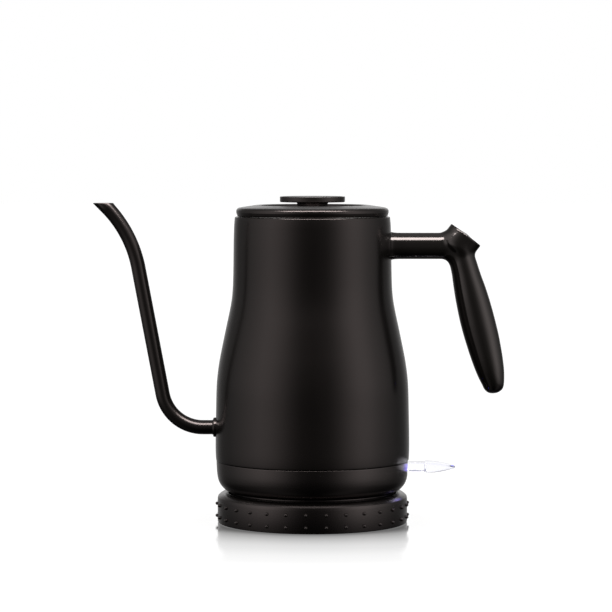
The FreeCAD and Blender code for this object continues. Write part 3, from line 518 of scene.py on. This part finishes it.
# ------------------------------------------------------------------ body
Z_R = [(44.6, 68.5), (47.0, 68.72), (51.3, 68.78), (64.0, 68.68), (78.0, 68.4), (90.0, 68.15), (98.1, 67.8),
       (106.6, 66.92), (115.2, 65.61), (123.7, 63.91), (132.2, 62.15), (140.7, 60.35), (149.2, 58.5), (157.8, 57.0),
       (166.3, 56.3), (180.0, 55.95), (200.0, 55.68), (210.3, 55.35)]
zs = np.linspace(44.6, 210.3, 332)
rs = pchip([p[0] for p in Z_R], [p[1] for p in Z_R], zs)
rs = blur(rs, 6.0)
wall = 0.9
outer = list(zip(rs, zs))
step = 3
outer = [outer[i] for i in range(0, len(outer), step)]
foot = rounded([(66.0, 43.15), (68.05, 43.1), (68.4, 43.6), outer[0]], [0, 0.1, 0.3, 0], 4)[:-1]
rim = rounded([outer[-1], (54.85, 215.58), (50.9, 215.6), (49.65, 215.6), (49.6, 212.0), (50.4, 212.0), (50.4, 214.65),
               (53.7, 214.65), (outer[-1][0] - wall, 209.0)], [0, 0.75, 0, 0.7, 0, 0, 0.4, 0.9, 0], 6)
inner = [(r - wall, z) for r, z in reversed(outer[:-1])]
prof = [tuple(p) for p in foot] + outer[:-1] + [tuple(p) for p in rim] + inner + [(66.0, 44.3)]
body = lathe("body_skin", prof, 256, 40)
boolean(body, rod("port", 5.15, (-75, 0, 66.1), (-60, 0, 66.1)))
sharpen(body, 40)
piece(body, "kettle", "coat_black", ["body_shell"], M["coat_body"])

# cup below the seam
cup_out = [(61.3, 22.0), (62.1, 22.5), (63.4, 23.75), (65.15, 25.75), (66.3, 27.8), (67.05, 30.0), (67.45, 32.2),
           (67.75, 34.6), (68.0, 38.5), (68.15, 42.3)]
cz = np.linspace(22.0, 42.3, 40)
cr = blur(pchip([p[1] for p in cup_out], [p[0] for p in cup_out], cz), 1.6)
prof = ([(21.2, 20.2), (53.9, 20.2), (53.9, 14.9), (54.2, 14.6), (57.2, 14.6), (57.8, 14.85), (58.0, 15.4),
         (58.0, 21.6), (60.6, 21.65)] + list(zip(cr, cz))
        + [(68.17, 42.72), (68.1, 42.84), (67.96, 42.9), (65.3, 42.9), (65.2, 38.5), (65.0, 34.6), (64.4, 30.7),
           (63.2, 27.6), (60.5, 24.4), (56.0, 22.2), (21.2, 22.2)])
cup = lathe("cup_skin", prof, 256, 40)
boolean(cup, block("window", (61.5, -9, 33), (72, 9, 46)))
for x, y in ((0, 50.2), (-43.475, -25.1), (43.475, -25.1)):
    boolean(cup, rod("hole", 1.7, (x, y, 19), (x, y, 24), 24))
plates = []
for y0 in (-15.4, 13.4):
    outline = [(46.0, 21.9), (55.4, 21.9), (62.5, 31.5), (62.5, 43.0), (46.0, 43.0)]
    v = [(x, y0, z) for x, z in outline] + [(x, y0 + 2.0, z) for x, z in outline]
    n = len(outline)
    f = [tuple(range(n))[::-1], tuple(range(n, 2 * n))] + [(k, (k + 1) % n, n + (k + 1) % n, n + k) for k in range(n)]
    plate = mesh_object("plate", v, f, smooth=False)
    fix_normals(plate)
    for x in (60.0, 50.0):
        boolean(plate, rod("hole", 1.27, (x, y0 - 2, 40), (x, y0 + 4, 40), 24))
    plates.append(plate)
cup = join("cup_skin", [cup] + plates)
sharpen(cup, 40)
piece(cup, "kettle", "plastic_black", ["base_cup"])

# ------------------------------------------------------------------ base sleeve with nubs
R, ZC, E = 67.3, 21.2, 5.0
top_edge = rounded([(R, 1.0), (R, 16.4), (R - 0.08, 17.4), (R - 0.32, 18.35), (R - 1.35, 19.4), (R - 2.9, 20.5),
                    (R - 4.6, 21.1), (R - 6.4, 21.2), (R - 6.6, 21.2)], [0, 4, 3, 0.4, 6, 6, 6, 3, 0], 5)
prof = [(50.0, 0.0), (R - 1.0, 0.0), (R - 0.3, 0.25)] + [tuple(q) for q in top_edge[:-1]]
prof += [(60.6, 21.2), (60.1, 21.1), (59.75, 20.85), (59.6, 20.4), (59.6, 19.2)]
for k in range(12, -1, -1):
    a = math.radians(7.5 * k)
    prof.append((R - E + 2.6 * math.cos(a), ZC - E + 3.0 * math.sin(a)))
prof += [(64.9, 2.0), (50.0, 2.0)]
sleeve = lathe("sleeve_skin", prof, 300, 40)
boolean(sleeve, rod("outlet", 4.65, (0, 60, 8.9), (0, 72, 8.9), 40))
nub_v, nub_f = [], []
SEG, RINGS = 20, 7
for k in range(30):
    for z in (4.5, 13.1):
        a = math.radians(-4.0 + 12.0 * k)
        n = np.array([math.sin(a), -math.cos(a), 0.0])
        u = np.array([math.cos(a), math.sin(a), 0.0])
        v = np.array([0, 0, 1.0])
        c0 = n * 67.25 + v * z
        base_i = len(nub_v)
        prof_n = [(1.62, -0.35), (1.34, 0.03), (1.22, 0.30)]
        for t in np.linspace(0.0, 1.0, RINGS)[:-1]:
            ang = t * math.pi / 2
            prof_n.append((1.18 * math.cos(ang), 0.52 + 1.12 * math.sin(ang)))
        for r, h in prof_n:
            for s in range(SEG):
                t = 2 * math.pi * s / SEG
                nub_v.append(c0 + n * h + (u * math.cos(t) + v * math.sin(t)) * r)
        nub_v.append(c0 + n * 1.64)
        top = len(nub_v) - 1
        for i in range(len(prof_n) - 1):
            for s in range(SEG):
                s2 = (s + 1) % SEG
                nub_f.append((base_i + i * SEG + s, base_i + i * SEG + s2, base_i + (i + 1) * SEG + s2,
                              base_i + (i + 1) * SEG + s))
        last = base_i + (len(prof_n) - 1) * SEG
        for s in range(SEG):
            nub_f.append((last + s, last + (s + 1) % SEG, top))
        nub_f.append(tuple(base_i + s for s in range(SEG))[::-1])
nubs = mesh_object("nubs", nub_v, nub_f)
fix_normals(nubs)
sleeve = join("sleeve_skin", [sleeve, nubs])
sharpen(sleeve, 42)
piece(sleeve, "base", "rubber_black", ["base_sleeve"])

# ------------------------------------------------------------------ lid
cover = rounded([(53.05, 216.05), (53.4, 216.9), (53.9, 218.7), (53.85, 220.45), (52.65, 221.75), (50.6, 222.25),
                 (45.6, 223.0), (40.4, 223.75), (38.6, 223.1), (35.9, 220.4), (33.4, 219.2), (30.0, 218.8),
                 (3.2, 218.2), (3.2, 217.2), (31.2, 217.9), (34.1, 218.4), (36.4, 219.7), (38.2, 221.4), (39.6, 222.5),
                 (40.4, 222.65), (45.4, 221.7), (50.5, 220.65), (52.0, 220.1), (52.7, 218.6), (52.3, 217.0),
                 (51.9, 216.05)],
                [0.25, 1, 1.5, 2.4, 2, 6, 6, 1.0, 1.2, 2.0, 3, 6, 0, 0, 3, 2, 2, 2, 1, 1, 4, 2, 1, 1, 1, 0], 6)
piece(lathe("lid_skin", cover, 256, 45), "lid", "coat_black", ["lid_cover"])
knob = rounded([(0, 218.3), (10.2, 218.4), (10.8, 219.0), (10.8, 225.3), (12.2, 225.9), (22.6, 225.9), (23.0, 226.4),
                (23.0, 229.55), (22.8, 229.8), (22.0, 229.8), (21.6, 229.5), (0, 229.5)],
               [0, 0.3, 0.4, 1.2, 0.6, 0.5, 0.35, 0.12, 0.12, 0.1, 0.2, 0], 5)
piece(lathe("knob_skin", knob, 160, 45), "lid", "handle_black", ["lid_knob"], M["knob_black"])

# ------------------------------------------------------------------ spout
lean, top = math.radians(10.65), math.radians(46.8)
rb, ra, z0 = 29.0, 84.3, 66.1
arc_x, arc_z = -123.13, 179.4
turn = math.pi / 2 - lean
be = (arc_x + (arc_z - (z0 + rb * (1 - math.cos(turn)))) * math.tan(lean), z0 + rb * (1 - math.cos(turn)))
bs = be[0] + rb * math.sin(turn)


def route(s):
    """Point and tangent on the spout's centreline, s mm from its root."""
    L1 = -64.5 - bs
    if s < L1:
        return np.array([-64.5 - s, 0, z0]), np.array([-1.0, 0, 0])
    s -= L1
    if s < rb * turn:
        a = s / rb
        return (np.array([bs - rb * math.sin(a), 0, z0 + rb * (1 - math.cos(a))]),
                np.array([-math.cos(a), 0, math.sin(a)]))
    s -= rb * turn
    L3 = math.hypot(be[0] - arc_x, arc_z - be[1])
    d = np.array([-math.sin(lean), 0, math.cos(lean)])
    if s < L3:
        return np.array([be[0], 0, be[1]]) + d * s, d
    s -= L3
    a = lean + s / ra
    c = (arc_x - ra * math.cos(lean), arc_z - ra * math.sin(lean))
    return (np.array([c[0] + ra * math.cos(a), 0, c[1] + ra * math.sin(a)]),
            np.array([-math.sin(a), 0, math.cos(a)]))


L_all = (-64.5 - bs) + rb * turn + math.hypot(be[0] - arc_x, arc_z - be[1]) + ra * (top - lean)


def tube_r(s):
    back = L_all - s
    return float(pchip([-20, 0, 4, 10, 22, 38, 60, 260], [5.35, 5.28, 5.17, 5.08, 5.02, 5.02, 5.1, 5.1], [back])[0])


def tube_rings(extra, seg, z_cut):
    rings = []
    s = 0.0
    while True:
        p, t = route(s)
        r = tube_r(s) - extra
        if p[2] + r * abs(t[0]) > z_cut - 0.15 and s > 100:
            break
        n = np.array([t[2], 0, -t[0]])
        rings.append([p + r * (math.cos(q) * n + math.sin(q) * np.array([0, 1.0, 0]))
                      for q in np.linspace(0, 2 * math.pi, seg, endpoint=False)])
        s += 1.6
    p, t = route(s)
    r = tube_r(s + 3) - extra
    n = np.array([t[2], 0, -t[0]])
    last = []
    for q in np.linspace(0, 2 * math.pi, seg, endpoint=False):
        w = p + r * (math.cos(q) * n + math.sin(q) * np.array([0, 1.0, 0]))
        last.append(w + t * (z_cut - w[2]) / t[2])
    return rings, last


SEG = 56
zc = 225.2
out_r, out_last = tube_rings(0.0, SEG, zc - 0.35)
in_r, in_last = tube_rings(0.75, SEG, zc - 0.25)
mid_pts = [(a * 0.72 + b * 0.28) * np.array([1, 1, 0]) + np.array([0, 0, zc]) for a, b in zip(out_last, in_last)]
mid2 = [(a * 0.25 + b * 0.75) * np.array([1, 1, 0]) + np.array([0, 0, zc - 0.02]) for a, b in zip(out_last, in_last)]
rings = out_r + [out_last, mid_pts, mid2, in_last] + in_r[::-1]
verts = [v for ring in rings for v in ring]
faces = []
nr = len(rings)
for i in range(nr):
    for k in range(SEG):
        k2 = (k + 1) % SEG
        faces.append((i * SEG + k, i * SEG + k2, ((i + 1) % nr) * SEG + k2, ((i + 1) % nr) * SEG + k))
spout = mesh_object("spout_skin", verts, faces)
fix_normals(spout)
sharpen(spout, 50)
piece(spout, "kettle", "coat_black", ["spout_tube"])

# flange with a small weld fillet on both sides
fl = []
prof = rounded([(5.17, -67.6), (6.8, -67.6), (6.95, -68.6), (6.9, -69.9), (6.6, -70.35), (5.7, -70.4), (5.17, -71.0)],
               [0, 0, 0.5, 0.5, 0.3, 0.5, 0], 4)
for r, x in prof:
    fl.append([(x, r * math.cos(q), z0 + r * math.sin(q)) for q in np.linspace(0, 2 * math.pi, 64, endpoint=False)])
verts = [v for ring in fl for v in ring]
faces = []
for i in range(len(fl)):
    for k in range(64):
        k2 = (k + 1) % 64
        faces.append((i * 64 + k, i * 64 + k2, ((i + 1) % len(fl)) * 64 + k2, ((i + 1) % len(fl)) * 64 + k))
flange = mesh_object("flange_skin", verts, faces)
fix_normals(flange)
sharpen(flange, 45)
piece(flange, "kettle", "coat_black", ["spout_flange"])

# ------------------------------------------------------------------ handle
G = np.array([  # height, inner x, outer x, half depth
    (86.0, 127.4, 128.6, 0.3), (90.2, 126.9, 128.9, 0.9), (90.4, 125.8, 129.7, 2.2), (90.8, 124.7, 131.2, 3.7),
    (91.8, 123.2, 133.1, 5.6), (93.7, 121.6, 135.0, 7.4), (96.0, 120.5, 135.75, 8.5), (98.1, 119.4, 136.0, 9.1),
    (102.4, 117.3, 136.1, 9.9), (106.6, 115.5, 135.95, 10.4), (115.2, 112.3, 135.0, 11.0), (123.7, 109.5, 133.6, 11.3),
    (132.2, 106.9, 131.95, 11.5), (140.7, 104.65, 129.9, 11.6), (149.2, 102.8, 127.65, 11.6),
    (157.8, 101.15, 125.15, 11.5), (166.3, 99.8, 122.35, 11.2), (174.8, 98.6, 119.2, 10.8), (183.3, 96.8, 116.4, 10.3),
    (190.0, 95.7, 114.2, 9.8), (200.0, 95.0, 111.0, 9.0), (215.0, 94.0, 108.0, 8.0)])
P0 = np.array([108.6, 0.0, 202.9])
NV = np.array([0.6, 0.0, 0.8])
EV = np.array([0.8, 0.0, -0.6])
gz = np.linspace(86.0, 215.0, 1000)
gi, go, gd = (pchip(G[:, 0], G[:, k], gz) for k in (1, 2, 3))


def handle_field(P):
    x, y, z = P[:, 0], P[:, 1], P[:, 2]
    xi, xo, hd = (np.interp(z, gz, g) for g in (gi, go, gd))
    a, c = (xo - xi) / 2, (xo + xi) / 2
    q = np.sqrt(((x - c) / a) ** 2 + (y / hd) ** 2 + 1e-9)
    grip = (q - 1) * np.minimum(a, hd) * 0.95
    grip = smax(grip, 90.25 - z, 0.4)
    grip = smax(grip, z - 203.0, 3.0)
    # arm
    flare = 1.0 + 0.085 * np.exp(-np.maximum(x - 55.5, 0) / 1.8)
    ha, hb = 9.3 * flare, 8.0 * flare
    u, v = (z - 194.9) / ha, y / hb
    qa = (np.abs(u) ** 2.1 + np.abs(v) ** 2.1 + 1e-9) ** (1 / 2.1)
    arm = (qa - 1) * 8.0
    arm = smax(arm, x - 106.0, 4.0)
    # thumb stub: a short round column whose top is the slanted face
    rel = P - P0
    t = -(rel @ NV)
    s = rel @ EV
    rr = 12.95
    qs = np.sqrt((s / rr) ** 2 + (y / 12.0) ** 2 + 1e-9)
    col = (qs - 1) * 12.2
    col = smax(col, -t, 0.6)
    col = smax(col, t - 14.0, 5.0)
    f = smin(arm, grip, 5.5)
    f = smin(f, col, 2.2)
    return f


h = 0.62
lo = np.array([50.0, -14.0, 88.5])
hi = np.array([138.0, 14.0, 213.0])
dimn = np.ceil((hi - lo) / h).astype(int) + 1
ax = [lo[i] + h * np.arange(dimn[i]) for i in range(3)]
X, Y, Z = np.meshgrid(*ax, indexing="ij")
F = handle_field(np.stack([X.ravel(), Y.ravel(), Z.ravel()], 1)).reshape(X.shape)
verts, faces = surface_nets(F, lo, h)
verts = project(handle_field, verts, 4)
handle = mesh_object("handle_skin", verts, faces)
fix_normals(handle)
boolean(handle, rod("shell_side", 55.78, (0, 0, 170), (0, 0, 220), 400))
sharpen(handle, 60)
piece(handle, "kettle", "handle_black", ["handle_front_half", "handle_rear_half"])
tilt = Matrix.Rotation(math.atan2(0.6, 0.8), 4, "Y")
cap = lathe("cap_skin", rounded([(0, -1.0), (9.1, -1.0), (9.1, 0.02), (8.9, 0.12), (0, 0.18)], [0, 0, 0.1, 0.2, 0], 3), 96, 45)
cap.data.transform(tilt)
cap.data.transform(Matrix.Translation(Vector(P0) * MM))
piece(cap, "kettle", "handle_black", ["thumb_cap"])

# ------------------------------------------------------------------ lever
def loft(name, sections, caps=True):
    n = len(sections[0])
    verts = [p for s in sections for p in s]
    faces = []
    for i in range(len(sections) - 1):
        for k in range(n):
            k2 = (k + 1) % n
            faces.append((i * n + k, i * n + k2, (i + 1) * n + k2, (i + 1) * n + k))
    if caps:
        faces.append(tuple(range(n))[::-1])
        faces.append(tuple(range((len(sections) - 1) * n, len(sections) * n)))
    ob = mesh_object(name, verts, faces)
    fix_normals(ob)
    return ob


def superellipse(x, hy, z0_, z1_, p, n=48):
    zc_, hz = (z0_ + z1_) / 2, (z1_ - z0_) / 2
    out = []
    for k in range(n):
        t = 2 * math.pi * k / n
        c, s = math.cos(t), math.sin(t)
        out.append((x, math.copysign(abs(c) ** (2 / p), c) * hy, zc_ + math.copysign(abs(s) ** (2 / p), s) * hz))
    return out


secs = [superellipse(60.5, 7.4, 37.0, 40.6, 6), superellipse(66.0, 7.5, 36.3, 41.0, 6),
        superellipse(68.6, 7.6, 35.0, 41.2, 6), superellipse(79.6, 7.6, 34.8, 41.3, 6),
        superellipse(80.2, 7.8, 34.75, 41.35, 6),
        superellipse(80.7, 12.2, 34.4, 41.6, 4), superellipse(82.0, 13.4, 34.25, 41.75, 3),
        superellipse(86.0, 13.8, 34.3, 41.6, 2.4), superellipse(90.0, 13.2, 34.75, 41.1, 2.2),
        superellipse(94.0, 11.6, 35.4, 40.4, 2.1), superellipse(97.5, 8.9, 36.2, 39.65, 2),
        superellipse(100.0, 5.6, 36.95, 38.95, 2), superellipse(101.2, 2.6, 37.5, 38.4, 2)]
lever = loft("lever_skin", secs)
sharpen(lever, 50)
hub = rod("hub", 2.6, (60, -12.5, 40), (60, 12.5, 40), 48)
boolean(hub, rod("bore", 1.3, (60, -14, 40), (60, 14, 40), 32))
boolean(lever, hub, "UNION")
sharpen(lever, 50)
piece(lever, "switch", "clear_plastic", ["switch_paddle"])

# ------------------------------------------------------------------ floor, world, lights
bpy.ops.mesh.primitive_plane_add(size=14.0, location=(0, 3.0, -0.0001))
floor = bpy.context.object
floor.name = "floor"
floor.visible_glossy = False
floor.visible_diffuse = False
m, nt, b = material("floor")
co = nt.nodes.new("ShaderNodeTexCoord").outputs["Object"]
nt.links.new(ramp(nt, noise(nt, co, 3.0), [(0.3, (0.010, 0.010, 0.010)), (0.7, (0.014, 0.014, 0.014))]), b.inputs["Base Color"])
b.inputs["Roughness"].default_value = 0.6
b.inputs["Specular IOR Level"].default_value = 0.2
b.inputs["Emission Color"].default_value = (1, 1, 1, 1)
b.inputs["Emission Strength"].default_value = 1.0
# a polished patch under the base, which fades out towards its edge
sep = nt.nodes.new("ShaderNodeSeparateXYZ")
nt.links.new(co, sep.inputs[0])
dy = math_node(nt, "ADD", sep.outputs["Y"], 3.0)
rad = math_node(nt, "POWER", math_node(nt, "ADD",
                math_node(nt, "POWER", math_node(nt, "MULTIPLY", math_node(nt, "ABSOLUTE", sep.outputs["X"]), 0.8), 2.0),
                math_node(nt, "POWER", math_node(nt, "ABSOLUTE", dy), 2.0)), 0.5)
part = remap(nt, rad, 0.060, 0.240, 0.0, 1.0)
FADE = [(60, 0.90), (65, 0.859), (75.8, 0.644), (86.7, 0.526), (97.6, 0.429), (108.5, 0.342), (119.4, 0.277),
        (130.3, 0.245), (141.2, 0.201), (152.1, 0.153), (163, 0.115), (173.9, 0.095), (184.8, 0.075), (195.7, 0.035),
        (206.6, 0.0), (240, 0.0)]
fac = ramp(nt, part, [((r - 60) / 180.0, (v, v, v)) for r, v in FADE])
gloss = add(nt, "ShaderNodeBsdfGlossy", Roughness=0.10)
gloss.inputs["Color"].default_value = (1, 1, 1, 1)
mixer = nt.nodes.new("ShaderNodeMixShader")
nt.links.new(fac, mixer.inputs[0])
nt.links.new(b.outputs[0], mixer.inputs[1])
nt.links.new(gloss.outputs[0], mixer.inputs[2])
out = [n for n in nt.nodes if n.type == "OUTPUT_MATERIAL"][0]
nt.links.new(mixer.outputs[0], out.inputs["Surface"])
floor.data.materials.append(m)

world = bpy.data.worlds.new("world")
scene.world = world
world.use_nodes = True
wt = world.node_tree
wt.nodes.clear()
tc = wt.nodes.new("ShaderNodeTexCoord")
sep = wt.nodes.new("ShaderNodeSeparateXYZ")
wt.links.new(tc.outputs["Generated"], sep.inputs[0])
az = math_node(wt, "ARCTAN2", sep.outputs["X"], math_node(wt, "MULTIPLY", sep.outputs["Y"], -1.0))
BACK = [(134, 0.14), (150, 0.18), (180, 0.20)]
LEFT = [(0, 0.05), (15, 0.10), (27, 0.30), (39, 0.62), (52, 0.91), (65, 0.99), (79, 0.75), (96, 0.47), (115, 0.22)] + BACK
RIGHT = [(0, 0.05), (20, 0.12), (32, 0.35), (45, 0.78), (58, 1.13), (70, 1.07), (87, 0.62), (104, 0.34),
         (118, 0.16)] + BACK
stops = [(0.5 - a / 360.0, v) for a, v in reversed(LEFT)] + [(0.5 + a / 360.0, v) for a, v in RIGHT[1:]]
az_fac = remap(wt, az, -math.pi, math.pi, 0.0, 1.0)
side = ramp(wt, az_fac, [(p, (v, v * 0.985, v * 0.975)) for p, v in stops])
elev = math_node(wt, "DIVIDE", math_node(wt, "ARCSINE", sep.outputs["Z"]), math.pi / 2)
ev = math_node(wt, "MULTIPLY_ADD", elev, 0.5)
ev.node.inputs[2].default_value = 0.5
EL = [(-90, 0.05), (-25, 0.12), (-14, 0.5), (-9, 0.8), (-5, 0.82), (0, 1.0), (45, 1.0), (62, 0.3), (90, 0.25)]
side_k = ramp(wt, ev, [((a + 90) / 180.0, (v, v, v)) for a, v in EL])
TOP = [(-90, 0.0), (45, 0.0), (60, 0.25), (90, 0.35)]
top_k = ramp(wt, ev, [((a + 90) / 180.0, (v, v, v)) for a, v in TOP])
lp = wt.nodes.new("ShaderNodeLightPath")
bg_side = wt.nodes.new("ShaderNodeBackground")
wt.links.new(side, bg_side.inputs["Color"])
wt.links.new(side_k, bg_side.inputs["Strength"])
bg_top = wt.nodes.new("ShaderNodeBackground")
bg_top.inputs["Color"].default_value = (1, 1, 1, 1)
wt.links.new(top_k, bg_top.inputs["Strength"])
plus = wt.nodes.new("ShaderNodeAddShader")
wt.links.new(bg_side.outputs[0], plus.inputs[0])
wt.links.new(bg_top.outputs[0], plus.inputs[1])
GLOW = [(140, 0.0), (150, 0.12), (160, 0.35), (168, 0.72), (172, 0.80), (180, 0.80)]
glow_az = ramp(wt, az_fac, [(0.5 - a / 360.0, (v, v, v)) for a, v in reversed(GLOW)]
               + [(0.5 + a / 360.0, (v, v, v)) for a, v in GLOW])
glow_el = ramp(wt, ev, [((a + 90) / 180.0, (v, v, v)) for a, v in
                        [(-90, 0.0), (-14, 0.3), (-4, 0.5), (2, 0.55), (6, 1.0), (13, 1.0), (20, 0.15), (45, 0.0), (90, 0.0)]])
bg_glow = wt.nodes.new("ShaderNodeBackground")
wt.links.new(glow_az, bg_glow.inputs["Color"])
wt.links.new(glow_el, bg_glow.inputs["Strength"])
plus2 = wt.nodes.new("ShaderNodeAddShader")
wt.links.new(plus.outputs[0], plus2.inputs[0])
wt.links.new(bg_glow.outputs[0], plus2.inputs[1])
bg_cam = wt.nodes.new("ShaderNodeBackground")
bg_cam.inputs["Color"].default_value = (1, 1, 1, 1)
bg_cam.inputs["Strength"].default_value = 1.0
mix = wt.nodes.new("ShaderNodeMixShader")
wt.links.new(math_node(wt, "MAXIMUM", lp.outputs["Is Camera Ray"], lp.outputs["Is Transmission Ray"]), mix.inputs[0])
wt.links.new(plus2.outputs[0], mix.inputs[1])
wt.links.new(bg_cam.outputs[0], mix.inputs[2])
wo = wt.nodes.new("ShaderNodeOutputWorld")
wt.links.new(mix.outputs[0], wo.inputs["Surface"])


def area(name, loc, look, sx, sy, radiance, color=(1, 1, 1)):
    """A rectangular softbox; radiance is what a mirror would see of it."""
    d = bpy.data.lights.new(name, "AREA")
    d.shape = "RECTANGLE"
    d.size, d.size_y, d.color = sx, sy, color
    d.energy = radiance * math.pi * sx * sy
    o = bpy.data.objects.new(name, d)
    scene.collection.objects.link(o)
    o.location = loc
    o.rotation_euler = (Vector(look) - Vector(loc)).to_track_quat("-Z", "Y").to_euler()
    return o


el = math.radians(56.5)
D_ = 1.6
pos = (0, -D_ * math.cos(el), 0.2 + D_ * math.sin(el))
strip = area("strip", pos, (0, 0, 0.2), 2.4, 0.66, 16.0, (1.0, 0.97, 0.95))
# the base and the cup stand in the shade of the strip, and each has a dim one of its own
shade = bpy.data.collections.new("shade")
shade.objects.link(sleeve)
shade.objects.link(cup)
strip.light_linking.receiver_collection = shade
for item in shade.collection_objects:
    item.light_linking.link_state = "EXCLUDE"
low = area("low_strip", pos, (0, 0, 0.2), 2.4, 0.66, 1.3, (1.0, 0.97, 0.95))
only = bpy.data.collections.new("only_base")
only.objects.link(sleeve)
low.light_linking.receiver_collection = only
mid = area("cup_strip", pos, (0, 0, 0.2), 2.4, 0.66, 4.5, (1.0, 0.97, 0.95))
only_cup = bpy.data.collections.new("only_cup")
only_cup.objects.link(cup)
mid.light_linking.receiver_collection = only_cup
for name, at, to, wide, power, seen in (
        ("led_spill", (0.0700, -0.0096, 0.0392), (0.0655, -0.0180, 0.0380), 0.0055, 1.6, only_cup),
        ("led_spill_low", (0.0745, -0.0070, 0.0320), (0.0620, -0.0260, 0.0210), 0.008, 2.0, only)):
    spill = area(name, at, to, wide, wide, power, (0.16, 0.10, 1.0))
    spill.visible_camera = False
    spill.visible_transmission = False
    spill.light_linking.receiver_collection = seen
    bpy.context.view_layer.update()
    spill.parent = cup
    spill.matrix_parent_inverse = cup.matrix_world.inverted()

bpy.context.view_layer.update()
